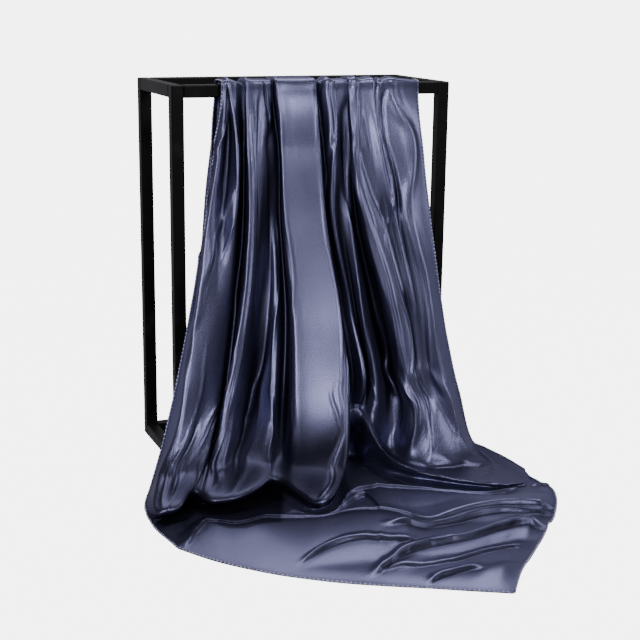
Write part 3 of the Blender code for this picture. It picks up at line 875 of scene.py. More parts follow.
PHOTO_CREASES = (
    PhotoCrease("left_valley", -4.0, 3.4, 3.0, ((244, 84), (244, 200), (242, 240), (238, 275), (233, 310))),
    PhotoCrease("wide_valley", -7.0, 8.0, 6.0, ((269, 128), (271, 145), (272, 180), (272, 230), (270, 270),
                 (267, 320), (262, 360), (252, 400), (244, 430))),
    PhotoCrease("beside_double", -2.0, 3.0, 4.0, ((258, 92), (259, 130), (259, 200), (257, 260),
                 (254, 310))),
    PhotoCrease("black_valley", -6.0, 6.0, 5.0, ((343, 100), (345, 150), (346, 185), (352, 215),
                 (358, 240))),
    PhotoCrease("right_valley", -7.0, 8.0, 7.0, ((370, 262), (378, 300), (385, 340), (390, 370), (395, 400),
                 (399, 434))),
    PhotoCrease("between_valley", -1.4, 4.0, 4.0, ((394, 300), (403, 330), (408, 360), (414, 395),
                 (419, 424))),
    PhotoCrease("lower_right_valley", -3.4, 5.0, 5.0, ((404, 285), (412, 320), (420, 365), (427, 400),
                 (434, 424))),
    PhotoCrease("layer_edge", 1.4, 1.6, 1.6, ((220, 70), (219, 105), (217, 125), (215, 150), (212, 180),
                 (205, 212), (203, 225), (201, 245), (198, 260), (194, 280), (190, 295))),
    PhotoCrease("first_line", 2.4, 2.0, 2.4, ((221, 70), (226, 92), (227, 105), (226, 120), (223, 133),
                 (217, 153), (212, 175), (210, 190), (207, 205))),
    PhotoCrease("first_hollow", -2.2, 7.0, 6.0, ((228, 84), (231, 105), (230, 130), (227, 150), (224, 172),
                 (221, 195))),
    PhotoCrease("second_line", 2.4, 1.8, 1.8, ((223, 70), (229, 92), (232, 102), (235, 125), (236.5, 140),
                 (237.5, 165), (237.5, 185), (236, 213), (233, 227), (229, 240), (224, 251), (220, 259))),
    PhotoCrease("pocket_slope", 2.6, 9.0, 5.0, ((236, 184), (231, 198), (226, 212), (219, 227), (212, 243))),
    PhotoCrease("left_band_outer", 3.4, 9.0, 6.0, ((212, 236), (212, 255), (203, 280), (200, 300),
                 (196, 320), (190, 336), (187, 360), (184, 395), (182, 413), (177, 432), (170, 452),
                 (163, 470), (158, 488), (155, 502), (158, 518))),
    PhotoCrease("left_band_inner", 1.8, 2.0, 1.6, ((207, 345), (204, 370), (203, 388), (199, 403),
                 (196, 415), (190, 428), (184, 443), (178, 457), (171, 469), (166, 480), (163, 493),
                 (162, 508))),
    PhotoCrease("double_first", 2.8, 1.6, 1.5, ((244, 70), (246, 105), (247, 120), (249, 150), (250, 180),
                 (250, 230), (248, 250), (246, 285), (242, 315), (239, 336), (235, 350), (230, 375),
                 (225, 405), (221, 420), (216, 432), (208, 460), (204, 475), (200, 490))),
    PhotoCrease("double_hollow", -1.2, 1.2, 1.2, ((249, 130), (252, 160), (252, 230), (250, 262), (247, 300),
                 (241, 340), (232, 385), (223, 422), (215, 450), (207, 482))),
    PhotoCrease("double_second", 2.4, 1.4, 1.8, ((249, 110), (252, 145), (253.5, 165), (254, 200),
                 (253, 240), (251, 275), (248, 305), (244, 336), (242, 350), (236, 380), (230, 410),
                 (222, 440), (214, 465), (209, 492))),
    PhotoCrease("lower_left_slit", -3.0, 1.6, 1.6, ((234, 348), (228, 375), (224, 390), (217, 415),
                 (206, 440), (196, 464))),
    PhotoCrease("lower_left_line", 1.0, 3.0, 2.0, ((230, 366), (226, 380), (219, 402), (213, 412),
                 (203, 432), (194, 452), (185, 476), (174, 496), (163, 517))),
    PhotoCrease("foot_first_valley", -4.0, 4.0, 4.0, ((199, 420), (192, 440), (184, 460), (176, 478),
                 (169, 497))),
    PhotoCrease("foot_second_valley", -3.0, 3.0, 3.0, ((209, 444), (203, 458), (198, 472), (195, 486))),
    PhotoCrease("foot_third_valley", -5.0, 6.0, 7.0, ((233, 405), (229, 425), (224, 450), (219, 470),
                 (216, 490))),
    PhotoCrease("foot_fourth_valley", -3.0, 5.0, 5.0, ((246, 415), (243, 440), (238, 460), (230, 482))),
    PhotoCrease("pinch", -4.0, 2.2, 2.0, ((262, 78), (264, 95), (266, 105), (269, 112), (273, 121))),
    PhotoCrease("pinch_side", 2.4, 2.5, 2.5, ((267, 70), (269, 95), (271, 106), (274, 114))),
    PhotoCrease("valley_line", 2.2, 2.4, 1.8, ((277, 218), (279, 250), (280, 280), (279, 292), (275, 318),
                 (273, 350), (272, 380), (272, 425), (270, 455), (268, 476))),
    PhotoCrease("valley_slope", 2.0, 6.0, 5.0, ((268, 360), (262, 390), (260, 410), (257, 430), (253, 450),
                 (245, 468), (234, 487), (228, 497))),
    PhotoCrease("panel_left_line", 1.8, 2.4, 4.0, ((270, 70), (276, 90), (279, 105), (282, 135), (283, 180),
                 (286, 220), (291, 255), (294, 285), (291, 315), (290, 345), (290, 380), (292, 420),
                 (292, 458))),
    PhotoCrease("panel_streak", 0.4, 6.0, 7.0, ((288, 88), (291, 120), (296, 150), (302, 175), (306, 196))),
    PhotoCrease("panel_right_line", 2.4, 2.2, 1.8, ((309, 70), (313, 86), (315, 100), (317, 135), (320, 165),
                 (322, 200), (325, 232), (331, 265), (336, 290), (340, 320), (342, 350), (342, 385),
                 (344, 410), (343, 430), (338, 452), (330, 478), (326, 490), (323, 506))),
    PhotoCrease("panel_second_line", 2.0, 2.6, 1.3, ((331, 388), (334, 405), (337, 415), (340, 425),
                 (341, 435), (336, 455), (327, 480), (321, 505))),
    PhotoCrease("leaf_hollow", -4.0, 3.0, 3.0, ((317, 80), (320, 110), (322, 130), (325, 150), (328, 192))),
    PhotoCrease("leaf", 3.4, 5.0, 4.0, ((320, 70), (326, 90), (329, 100), (330, 115), (331, 130), (330, 145),
                 (327, 165))),
    PhotoCrease("thin_line", 2.2, 1.6, 1.6, ((332, 84), (334, 102), (336, 112), (337, 125), (336, 140),
                 (333, 170), (330.5, 200), (331, 215), (332, 232))),
    PhotoCrease("fine_line", 1.4, 3.0, 3.0, ((341, 150), (344, 172), (348, 200), (354, 245), (358, 275),
                 (361, 305), (365, 336), (370, 365), (374, 395), (375, 412))),
    PhotoCrease("slit", -3.6, 1.6, 1.4, ((341, 285), (344, 320), (346, 350), (347, 365), (348.5, 395),
                 (349, 412))),
    PhotoCrease("slit_side", 1.8, 1.4, 1.6, ((345, 320), (348, 350), (349.5, 380), (351, 410))),
    PhotoCrease("right_line", 4.2, 4.0, 6.0, ((349, 70), (352, 95), (355, 120), (354, 165), (357, 187),
                 (363, 208), (372, 235), (380, 260), (387, 285), (393, 315), (398, 345), (402, 375),
                 (408, 400), (414, 425), (415, 438), (414, 452))),
    PhotoCrease("right_second_line", 1.8, 1.4, 1.4, ((356, 98), (357, 130), (357, 155), (362, 187),
                 (371, 212), (378, 230))),
    PhotoCrease("swag_curl", 1.8, 1.6, 1.8, ((357, 150), (362, 167), (366, 178), (373, 200), (380, 212),
                 (388, 222))),
    PhotoCrease("swag_leaf", 2.2, 10.0, 8.0, ((358, 112), (366, 140), (371, 155), (376, 170), (380, 185),
                 (384, 204))),
    PhotoCrease("swag_line", 3.2, 2.4, 1.8, ((374, 70), (377, 95), (377, 118), (383, 143), (389, 170),
                 (393, 200), (393, 214), (388, 226))),
    PhotoCrease("swag_hollow", -3.6, 2.4, 3.0, ((380, 90), (384, 130), (388, 145), (394, 170), (399, 200),
                 (400, 228))),
    PhotoCrease("lower_thin_line", 2.2, 2.2, 3.4, ((383, 230), (388, 252), (396, 280), (404, 308),
                 (411, 336), (414, 365), (419, 395), (425, 420), (431, 440), (437, 454))),
    PhotoCrease("streak", 0.7, 5.0, 5.0, ((394, 78), (402, 100), (405, 110), (412, 122), (417, 134))),
    PhotoCrease("band", 3.4, 9.0, 10.0, ((383, 70), (389, 92), (398, 112), (408, 126), (415, 142),
                 (415, 165), (409, 190), (406, 205), (408, 218), (413, 234), (421, 262), (426, 275),
                 (429, 305), (430, 345), (437, 375), (444, 395), (449, 415), (457, 434), (464, 446))),
    PhotoCrease("roll_line", 2.2, 1.8, 1.8, ((361, 410), (365, 423), (371, 437), (379, 449), (389, 458),
                 (398, 464))),
    PhotoCrease("roll_slit", -2.6, 1.6, 1.4, ((366, 417), (370, 427), (377, 439), (385, 450), (394, 458))),
    PhotoCrease("roll_second_line", 1.8, 1.4, 2.0, ((369, 416), (374, 427), (381, 438), (388, 447),
                 (396, 455))),
    PhotoCrease("landing_pocket", -7.0, 10.0, 8.0, ((424, 466), (445, 464), (465, 465),
                 (490, 464)), Run.OVER_FOOT),
    PhotoCrease("landing_hook", 5.0, 4.0, 9.0, ((482, 448), (486, 456), (488, 462), (485, 470), (478, 477))),
    PhotoCrease("landing_crest", 2.0, 3.0, 3.0, ((396, 463), (410, 470), (430, 474), (450, 479), (480, 482),
                 (500, 485), (516, 483)), Run.OVER_FOOT),
    PhotoCrease("train_thin", 2.0, 4.0, 2.0, ((385, 546), (400, 541), (420, 539), (440, 536),
                 (460, 534)), Run.ACROSS),
)


@dataclass(frozen=True)
class PhotoView:
    """The photograph's camera, which carries lines in its picture to the cloth.

    Its place is in millimetres and its turn in degrees.  The rest of its sizes, from the cost of depth on,
    say how a line is met: costs and distances in pixels, and steps along the cloth in millimetres.
    """

    place: "tuple[float, float, float]" = (-767.1, -1888.7, 730.9)
    turn: "tuple[float, float, float]" = (76.089, -0.699, -22.217)
    lens: float = 73.69
    sensor: float = 36.0
    picture: float = 640.0
    depth_cost: float = 0.05
    outside_cost: float = 1e3
    off_line_pixels: float = 2.5
    least_run: float = 0.1
    least_slope: float = 0.1
    most_shift: float = 2.0
    meeting_passes: int = 40
    end_passes: int = 20

    def seen(self, points: np.ndarray) -> "tuple[np.ndarray, np.ndarray, np.ndarray]":
        """Where points lie in the photograph: their place across and down it over their depth.

        Args:
            points: Points in millimetres.

        Returns:
            Pixels across, pixels down and depths in millimetres.
        """
        axes = np.array(Euler(np.radians(self.turn)).to_matrix())
        own = (points - np.array(self.place)) @ axes
        depth = -own[..., 2]
        focal = self.lens / self.sensor * self.picture
        middle = self.picture / 2
        return middle + focal * own[..., 0] / depth, middle - focal * own[..., 1] / depth, depth

    def meeting(self, grid: np.ndarray, seen: "tuple[np.ndarray, ...]",
                line: np.ndarray) -> "tuple[np.ndarray, ...]":
        """Where each row of the cloth, as the photograph sees it, meets a line read off the photograph.

        Of several places it is the one nearest to the camera.

        Args:
            grid: Points, with rows that the line crosses.
            seen: Their place in the photograph, square to the line and along it, and their depth.
            line: Points of the line: pixels square to its run, then along it, rising.

        Returns:
            Distances of the points along the rows past the place met, the line's pixel along its run for
            each row, and which rows meet it.

        Raises:
            ValueError: If no row meets the line.
        """
        square, along, depth = seen
        off = square - through(line, along)
        outside = (along < line[0, 1]) | (along > line[-1, 1])
        cost = np.abs(off) + self.depth_cost * (depth - depth.min()) + self.outside_cost * outside
        rows = np.arange(len(grid))
        column = cost.argmin(axis=1)
        found = (np.abs(off[rows, column]) < self.off_line_pixels) & ~outside[rows, column]
        if not found.any():
            raise ValueError("a line read off the photograph meets no cloth")
        reach = reach_along(grid, 1)
        beside = np.clip(column + 1, 0, grid.shape[1] - 1)
        run = np.maximum(reach[rows, beside] - reach[rows, column], self.least_run)
        slope = (off[rows, beside] - off[rows, column]) / run
        shift = -off[rows, column] / np.where(np.abs(slope) < self.least_slope, self.least_slope, slope)
        exact = reach[rows, column] + np.clip(shift, -self.most_shift, self.most_shift)
        centre = softened(np.interp(rows, rows[found], exact[found])[:, None], self.meeting_passes)
        place = np.interp(rows, rows[found], along[rows, column][found])
        return reach - centre, place, found


@dataclass
class Train:
    """The stretch of the scarf that lies on the floor: its plan, the folds on it and the ground under it.

    The sizes of its border, brim and folds are in millimetres but for shares and pixels.  Passes are how
    often a value is smoothed, and a stride picks the points of a border that distances are taken to.
    """

    rows: int = 176
    hem_even_share: float = 0.6
    bow_peak: float = 27 / 4
    hem_bow_left: "tuple[float, float]" = (-3.0, 0.0)
    hem_bow_right: "tuple[float, float]" = (45.0, -6.0)
    flat_border: float = 24.0
    foot_border: float = 20.0
    foot_stride: int = 4
    side_stride: int = 2
    hem_lift: float = 0.45
    flat_start: float = 0.06
    brim_height: float = 7.0
    brim_start: float = 0.3
    brim_slope: float = 0.30
    brim_round: float = 4.0
    ground_passes: int = 16
    behind_power: float = 1.3
    fold_waver: float = 0.14
    fold_waver_pixels: float = 19.0
    crest_shade_from: float = 0.2
    crest_shade_over: float = 0.4
    view: PhotoView = field(default_factory=PhotoView)

    def shape(self, plan: np.ndarray) -> "tuple[np.ndarray, ...]":
        """Height, forward lean and painted shade of the train: folds rise easily behind and lap over in
        front.

        With s as the distance from the crest, the height falls off as a power of 1 - s / back behind and as
        1 - (s / front) squared in front.  The lean is the square of 1 - 2 s / back behind and eases in front.
        A swell, with no lap, eases to nothing behind, and it lifts the folds that lie on it.

        Args:
            plan: Plan places, from the fall's foot to the hem.

        Returns:
            The height of the folds and of the swells, the lean towards the hem and the painted shade under
            crests.
        """
        folds, swells, lean, shade = np.zeros((4,) + plan.shape[:2])
        for number, fold in enumerate(TRAIN_FOLDS):
            raised = placed(plan[..., 0], plan[..., 1], fold.height).transpose(1, 0, 2)
            px, py, depth = self.view.seen(raised)
            line = np.array(fold.line, dtype=float)[:, ::-1]
            away, place, found = self.view.meeting(raised, (py, px, depth), line)
            past = away + fold.lap
            before = np.clip(-past / fold.back, 0, 1)
            after = np.clip(past / fold.front, 0, 1)
            behind = (1 - before) ** self.behind_power if fold.lap > 0 else smooth_step(1 - before)
            bump = np.where(past > 0, 1 - after ** 2, behind)
            waver = 1 + self.fold_waver * np.sin(place / self.fold_waver_pixels + 2 * number)
            ends = eased_ends(place, line, fold.fade) * waver * found
            ends = softened(ends[:, None], self.view.end_passes)
            height = (fold.height * ends * bump).T
            if fold.lap == 0:
                swells = np.maximum(swells, height)
                continue
            over = np.where(past > 0, smooth_step(1 - after), np.clip(1 - 2 * before, 0, 1) ** 2)
            lean = np.where(height > folds, (fold.lap * ends * over).T, lean)
            folds = np.maximum(folds, height)
            # Painted shade under each crest, reaching past its front over the band.
            under = smooth_step((after - self.crest_shade_from) / self.crest_shade_over)
            under = under * smooth_step(1 - (past - fold.front) / fold.band)
            shade = np.maximum(shade, (fold.dark * ends * under).T)
        return folds, swells, lean, shade

    def grid(self, edge: np.ndarray, start: np.ndarray) -> np.ndarray:
        """Rows of the train from its start line on the floor to the front hem.

        In plan they run straight from the start to the hem, and bow out at both sides as w times 1 - w
        squared does, with w the share of the way and its peak brought to one.  The cloth lies flat along
        its border and by the fall's foot.  Elsewhere it rests on a ground that swells under it, and near the
        border that ground is no higher than a slope, in a rounded lesser of the two.

        Args:
            edge: The foremost row of the fall's roll.
            start: The row that the train starts from.

        Returns:
            The rows after the start.
        """
        gaps = np.linalg.norm(np.diff(start, axis=0), axis=1)
        even = np.linspace(0, 1, len(start))
        by_length = np.concatenate([[0.0], np.cumsum(gaps)]) / gaps.sum()
        hem = plan_curve(FRONT_HEM, self.hem_even_share * even + (1 - self.hem_even_share) * by_length)
        w = np.linspace(0, 1, self.rows + 1)[1:, None, None]
        left, right = (1 - even)[:, None] ** 3, even[:, None] ** 2
        bow = left * np.array(self.hem_bow_left) + right * np.array(self.hem_bow_right)
        plan = (1 - w) * start[:, :2] + w * hem + self.bow_peak * w * (1 - w) ** 2 * bow
        w = w[..., 0]
        off_border = reach_to(np.concatenate([plan[:, 0], plan[-1, ::self.foot_stride]]), plan)
        beside = smooth_step(reach_to(plan[::self.side_stride, -1], plan) / self.flat_border)
        edgewise = self.hem_lift + (1 - self.hem_lift) * beside
        away = smooth_step(reach_to(edge[::self.foot_stride, :2], plan) / self.foot_border)
        begun = smooth_step(w / self.flat_start)
        lift = smooth_step(off_border / self.flat_border) * edgewise * away * begun
        folds, swells, lean, shade = self.shape(plan)
        # The painted shade under the crests, kept for the satin's colour.
        self.painted_fold_shade = lift * shade
        level = swells + self.brim_height * smooth_step(w / self.brim_start)
        slope = self.brim_slope * off_border
        ground = (level + slope - np.hypot(level - slope, self.brim_round)) / 2
        ground = softened(np.maximum(ground, 0), self.ground_passes)
        ground = softened(ground, self.ground_passes, axis=1) * away * edgewise * begun
        onward = unit(np.gradient(plan, axis=0))
        return np.dstack([plan + (lift * lean)[..., None] * onward, lift * folds + ground])


@dataclass(frozen=True)
class Shade:
    """The soft shade that the cloth's own folds cast on it, painted into its colour as one value at each
    point.

    Its sizes are in millimetres but for rows, columns, shares and pixels.  Passes are how often a value is
    smoothed.
    """

    chords: "tuple[int, ...]" = (5, 9, 14)
    least_half_chord: float = 4.0
    outward_passes: int = 200
    hollow_from: float = 0.16
    hollow_over: float = 0.72
    hollow_passes: int = 4
    past_edge_rows: int = 6
    slit_columns: float = 20.0
    panel_columns: float = 12.0
    shade_top: float = 110.0
    shade_depth: float = 80.0
    tent_depth: float = 60.0
    tent_light: float = 0.6
    train_shade: float = 0.35
    panel_shade: float = 142.0
    beside_shade: float = 0.7
    landing_shade: float = 0.3
    rim_light: float = 0.8
    rim_pixels: float = 3.0
    pocket_pixel: "tuple[float, float]" = (450.0, 464.0)
    pocket_pixels: "tuple[float, float]" = (28.0, 9.0)
    pocket_shade: float = 0.85
    cavity_shade: float = 0.97
    cavity_right_pixel: float = 287.0
    cavity_fade_pixels: float = 7.0
    cavity_rim_pixels: float = 0.5
    cavity_depth_pixels: float = 3.0

    def hollows(self, grid: np.ndarray) -> np.ndarray:
        """How deep each point lies between the folds beside it, from 0 on open cloth to 1.

        It is the height of the middle of a chord over the point, as a share of half the chord, at its
        largest among three chords, measured along the cloth's mean outward direction.

        Args:
            grid: The cloth.

        Returns:
            The depth shares.
        """
        outward = grid_normals(grid, self.outward_passes)
        depth = np.zeros(grid.shape[:2])
        for half in self.chords:
            wide = np.pad(grid, ((0, 0), (half, half), (0, 0)), mode="edge")
            left, right = wide[:, :-2 * half], wide[:, 2 * half:]
            over = (((left + right) / 2 - grid) * outward).sum(axis=2)
            half_chord = np.maximum(np.linalg.norm(right - left, axis=2) / 2, self.least_half_chord)
            depth = np.maximum(depth, over / half_chord)
        # The depth between folds becomes painted shade there.
        return softened(smooth_step((depth - self.hollow_from) / self.hollow_over), self.hollow_passes)

    def foot(self, scarf: "Scarf", px: np.ndarray, py: np.ndarray) -> np.ndarray:
        """How far the foot of the fall lies in painted shade, from 0 to 1.

        It grows towards the floor and ends where the cloth turns under.  It is deepest on the panel, but for
        a line of light down the panel's right rim, less on its left, and least on the landing past the
        slit, where it falls off round a pocket as exp(-(distance / size) squared).

        Args:
            scarf: The cloth.
            px: Its pixels across the photograph.
            py: Its pixels down the photograph.

        Returns:
            The shade.
        """
        row, column = np.ogrid[:len(px), :px.shape[1]]
        on_fall = (row > scarf.rail_row) & (row <= scarf.edge_row + self.past_edge_rows)
        before_slit = smooth_step((scarf.column_of["slit_valley"] - column) / self.slit_columns)
        on_panel = smooth_step((column - scarf.column_of["panel_valley"]) / self.panel_columns)
        rim = next(crease.line for crease in PHOTO_CREASES if crease.name == "panel_right_line")
        panel = smooth_step((self.panel_shade - scarf.grid[..., 2]) / self.shade_depth)
        # Painted light: along the panel's right rim the painted shade is lifted.
        panel = panel * (1 - self.rim_light * bell(px - through(rim, py), self.rim_pixels))
        low = smooth_step((self.shade_top - scarf.grid[..., 2]) / self.shade_depth)
        beside = (px - self.pocket_pixel[0]) / self.pocket_pixels[0]
        below = (py - self.pocket_pixel[1]) / self.pocket_pixels[1]
        # Painted shadow of the landing's pocket, falling off round its place as a bell.
        landing = np.maximum(self.landing_shade * low, self.pocket_shade * bell(np.hypot(beside, below), 1.0))
        fall = on_panel * panel + (1 - on_panel) * self.beside_shade * low
        return on_fall * (before_slit * fall + (1 - before_slit) * landing)

    def cavity(self, scarf: "Scarf", px: np.ndarray, py: np.ndarray) -> np.ndarray:
        """Painted shade between the fall's left foot and the train's first fold, from 0 to 1.

        Args:
            scarf: The cloth.
            px: Its pixels across the photograph.
            py: Its pixels down the photograph.

        Returns:
            The shade.
        """
        behind = through(np.array(FIRST_LINE)[:, ::-1], px) - self.cavity_rim_pixels - py
        on_train = np.arange(len(px))[:, None] > scarf.edge_row
        left = smooth_step((self.cavity_right_pixel - px) / self.cavity_fade_pixels)
        return self.cavity_shade * on_train * left * smooth_step(behind / self.cavity_depth_pixels)

    def on(self, scarf: "Scarf") -> np.ndarray:
        """The painted shade on the cloth from 0 to 1: at each place the deepest of those that fall on it.

        The hollows between folds count for less on the train, and under the tent right of the slit.

        Args:
            scarf: The cloth, with its grid made.

        Returns:
            The shade.
        """
        grid = scarf.grid
        row, column = np.ogrid[:len(grid), :grid.shape[1]]
        tent = smooth_step((column - scarf.column_of["slit_valley"]) / self.slit_columns)
        tent = tent * smooth_step((self.shade_top - grid[..., 2]) / self.tent_depth)
        on_train = row > scarf.edge_row + self.past_edge_rows
        # Painted shade in the hollows between folds, less on the train and under the tent.
        shade = self.hollows(grid) * np.where(on_train, self.train_shade, 1.0 - self.tent_light * tent)
        train = slice(-len(scarf.train.painted_fold_shade), None)
        shade[train] = np.maximum(shade[train], scarf.train.painted_fold_shade)
        px, py, _ = scarf.view.seen(grid)
        return np.maximum(shade, np.maximum(self.foot(scarf, px, py), self.cavity(scarf, px, py)))


@dataclass
class Scarf:
    """The satin cloth: its drop behind the rail, its front and its train.

    Its sizes are in order those of the grid, the rail, the drop behind, the roll and the creases.  They are
    in millimetres but for the flat size in metres, rows, columns, shares and pixels.  Passes are how often a
    value is smoothed.
    """

    shift: np.ndarray
    flat: "tuple[float, float]" = (0.70, 1.80)
    column_pitch: float = 1.95
    least_columns: int = 6
    row_pitch: float = 3.2
    back_row_pitch: float = 5.0
    level_share: float = 0.65
    roundness: float = 0.78
    calm_top: float = 150.0
    calm_depth: float = 60.0
    calm_past_rows: int = 24
    calm_rows: float = 20.0
    calm_columns: float = 16.0
    calm_passes: int = 14
    floor_gap: float = 0.4
    least_steps: int = 4

    tube_size: float = 19.0
    tube_middle: float = 9.0
    frame_height: float = 600.0
    rail_clearance: float = 0.7
    rail_out: float = 11.0
    below_rail: float = 12.0
    corner_out: float = 1.6
    corner_out_pleat: float = 0.7
    corner_up: float = 1.0
    corner_up_pleat: float = 0.65
    crown_up: float = 2.2
    crown_up_pleat: float = 0.85

    back_gap: float = 3.0
    back_waver: float = 2.5
    back_waver_height: float = 70.0
    back_turns: float = 9.0
    sway_turns: float = 1.3
    back_ripple: float = 4.2
    ripple_fade: float = 0.35
    ripple_waver: float = 0.35
    ripple_fold_turns: float = 2.3
    ripple_row_turns: float = 0.02

    roll_turn: float = 40.0
    under_height: float = 0.42
    turned_under: "tuple[float, ...]" = (0.8, 1.0, 0.8)
    run_on: "tuple[float, ...]" = (0.8, 1.3, 1.8)
    under_end: float = 6.0

    front_start_rows: int = 4
    crease_waver: float = 0.2
    crease_waver_pixels: float = 17.0
    crease_end_pixels: float = 12.0
    back_crease_fade: float = 40.0
    back_crease_waver_height: float = 37.0
    normal_passes: int = 12

    view: PhotoView = field(default_factory=PhotoView)
    train: Train = field(default_factory=Train)
    shade: Shade = field(default_factory=Shade)
    satin: Satin = field(default_factory=Satin)

    def __post_init__(self) -> None:
        """Read the fold lines, and work out the columns between them."""
        names, *places = zip(*FOLD_LINES)
        places = [np.array(part, dtype=float) for part in places]
        self.across, self.out, self.heel, self.edge, self.tuck = places
        at_levels = np.hypot(np.diff(self.across, axis=0), np.diff(self.out, axis=0)).mean(axis=1)
        at_foot = np.linalg.norm(np.diff(self.edge, axis=0), axis=1)
        spacing = self.level_share * at_levels + (1 - self.level_share) * at_foot
        self.counts = np.maximum(self.least_columns, np.round(spacing / self.column_pitch)).astype(int)
        self.line_columns = np.concatenate([[0], np.cumsum(self.counts)])
        self.column_of = dict(zip(names, self.line_columns))

    def back_sections(self) -> "list[np.ndarray]":
        """Fold line points of the drop behind the rail, from the back hem up.

        Each pleat stands as far out behind as it does at the front, waves a little and sways sideways.

        Returns:
            One array of points for each back level.
        """
        x, out = self.across[:, 0], self.out[:, 1]
        share = (out - out.min()) / (out.max() - out.min())
        phase = np.linspace(0.0, self.back_turns, len(x))
        evenly = np.linspace(x[0], x[-1], len(x))
        rows = []
        for level in BACK_LEVELS:
            waver = self.back_waver * np.sin(phase + level.z / self.back_waver_height)
            spaced = level.spread * (level.even * evenly + (1 - level.even) * x)
            y = self.tube_size + self.back_gap + level.pleat * share + waver
            rows.append(placed(spaced + level.sway * np.sin(phase * self.sway_turns), y, level.z))
        return rows

    def rail_sections(self) -> "list[np.ndarray]":
        """Fold line points over the rail, from its back face to its front; pleats stand up a little.

        Returns:
            One array of points for each section.
        """
        x, top = self.across[:, 0], self.frame_height
        out = np.minimum(self.out[:, 0], self.rail_out)
        rise = out - out.min()
        corner_out = self.rail_clearance + self.corner_out + self.corner_out_pleat * rise
        corner_top = top + (self.rail_clearance + self.corner_up + self.corner_up_pleat * rise)
        crown_top = top + self.rail_clearance + self.crown_up + self.crown_up_pleat * rise
        return [
            placed(x, self.tube_size + out, top - self.below_rail),
            placed(x, self.tube_size + corner_out, corner_top),
            placed(x, self.tube_middle, crown_top),
            placed(x, -corner_out, corner_top),
        ]

    def fall_sections(self) -> "list[np.ndarray]":
        """Fold line points of the front fall at each level, then its heel and the front of its roll."""
        levels = [placed(self.across[:, k], -self.out[:, k], z) for k, z in enumerate(LEVELS)]
        return levels + [self.heel, self.edge]

    def under_rows(self, edge: np.ndarray) -> np.ndarray:
        """Rows of the cloth turned under the roll: a quarter ellipse, a level stretch and a half turn.

        Where a fold line runs on along the train, the rows run on past the roll instead.

        Args:
            edge: The foremost row of the roll.

        Returns:
            Four rows, the last of them on the floor.
        """
        turn = np.radians(self.roll_turn)
        low = np.where(self.tuck < 0, np.array([self.run_on]).T, np.array([self.turned_under]).T) * self.tuck
        low[-1] -= self.under_end
        heights = (1 - (1 - self.under_height) * np.sin(turn), self.under_height, self.under_height / 2, 0.0)
        rows = []
        for back, share in zip(((1 - np.cos(turn)) * self.tuck, *low), heights):
            y = edge[:, 1] + np.interp(np.arange(len(edge)), self.line_columns, back)
            rows.append(placed(edge[:, 0], y, share * edge[:, 2]))
        return np.array(rows)

    def base_grid(self) -> np.ndarray:
        """The whole scarf as rows of points, without its creases.

        Returns:
            Points in rows and columns, from the back hem to the front hem.
        """
        sections = np.array(self.back_sections() + self.rail_sections() + self.fall_sections())
        sections = across(sections, self.counts, self.roundness)
        under = self.under_rows(sections[-1])
        train = self.train.grid(sections[-1], under[-1])
        main_rows = np.concatenate([sections, under])
        reach = np.linalg.norm(np.diff(main_rows, axis=0), axis=2).mean(axis=1)
        pitch = np.full(len(reach), self.row_pitch)
        pitch[:len(BACK_LEVELS)] = self.back_row_pitch
        steps = np.maximum(self.least_steps, np.round(reach / pitch)).astype(int)
        stops = np.concatenate([[0], np.cumsum(steps)])
        self.rail_row = int(stops[len(BACK_LEVELS)])
        self.edge_row = int(stops[len(sections) - 1])
        steps = np.concatenate([steps, np.ones(len(train), dtype=int)])
        return self.calmed(lengthwise(np.concatenate([main_rows, train]), steps))

    def calmed(self, grid: np.ndarray) -> np.ndarray:
        """The grid with the foot of its fall evened out from column to column.

        Args:
            grid: Points in rows and columns.

        Returns:
            The grid, changed only near the fall's foot and just past the front of its roll.
        """
        row, column = np.ogrid[:len(grid), :grid.shape[1]]
        foot = (row > self.rail_row) * smooth_step((self.calm_top - grid[..., 2]) / self.calm_depth)
        foot = foot * smooth_step((self.edge_row + self.calm_past_rows - row) / self.calm_rows)
        foot = foot * smooth_step(np.minimum(column, column[:, ::-1]) / self.calm_columns)
        return grid + foot[..., None] * (softened(grid, self.calm_passes, axis=1) - grid)

    def crease_relief(self, grid: np.ndarray) -> np.ndarray:
        """How far all the creases raise the cloth along its normals.

        Args:
            grid: The base grid.

        Returns:
            Relief in millimetres.
        """
        relief = self.ripple_relief(grid)
        relief[:self.rail_row] += self.back_creases(grid[:self.rail_row])
        front = slice(self.rail_row - self.front_start_rows, self.edge_row + 1)
        train = slice(self.edge_row, len(grid))
        seen_front = self.view.seen(grid[front])
        seen_train = self.view.seen(grid[train])
        for crease in PHOTO_CREASES:
            part, seen = (train, seen_train) if crease.run is Run.ACROSS else (front, seen_front)
            if crease.run is Run.DOWN:
                relief[part] += self.photo_crease(grid[part], seen, crease)
            else:
                turned = (seen[1].T, seen[0].T, seen[2].T)
                relief[part] += self.photo_crease(grid[part].transpose(1, 0, 2), turned, crease).T
        return relief

    def photo_crease(self, grid: np.ndarray, seen: "tuple[np.ndarray, ...]",
                     crease: PhotoCrease) -> np.ndarray:
        """Relief of one crease read off the photograph.

        Away from where a row meets it, it falls off as exp(-(distance / width) squared), with the distance
        along the cloth, and its height wavers a little and eases to nothing at both ends.

        Args:
            grid: Points, with rows that the crease crosses.
            seen: Their place in the photograph, square to the crease and along it, and their depth.
            crease: The crease.

        Returns:
            Relief in millimetres.
        """
        line = np.array(crease.line, dtype=float)
        if crease.run is not Run.DOWN:
            line = line[:, ::-1]
        away, place, found = self.view.meeting(grid, seen, line)
        ends = eased_ends(place, line, self.crease_end_pixels) * found
        ends = softened(ends[:, None], self.view.end_passes)
        waver = 1 + self.crease_waver * np.sin(place / self.crease_waver_pixels + line[0, 0])[:, None]
        return crease.height * ends * waver * bell(away, np.where(away < 0, crease.left, crease.right))

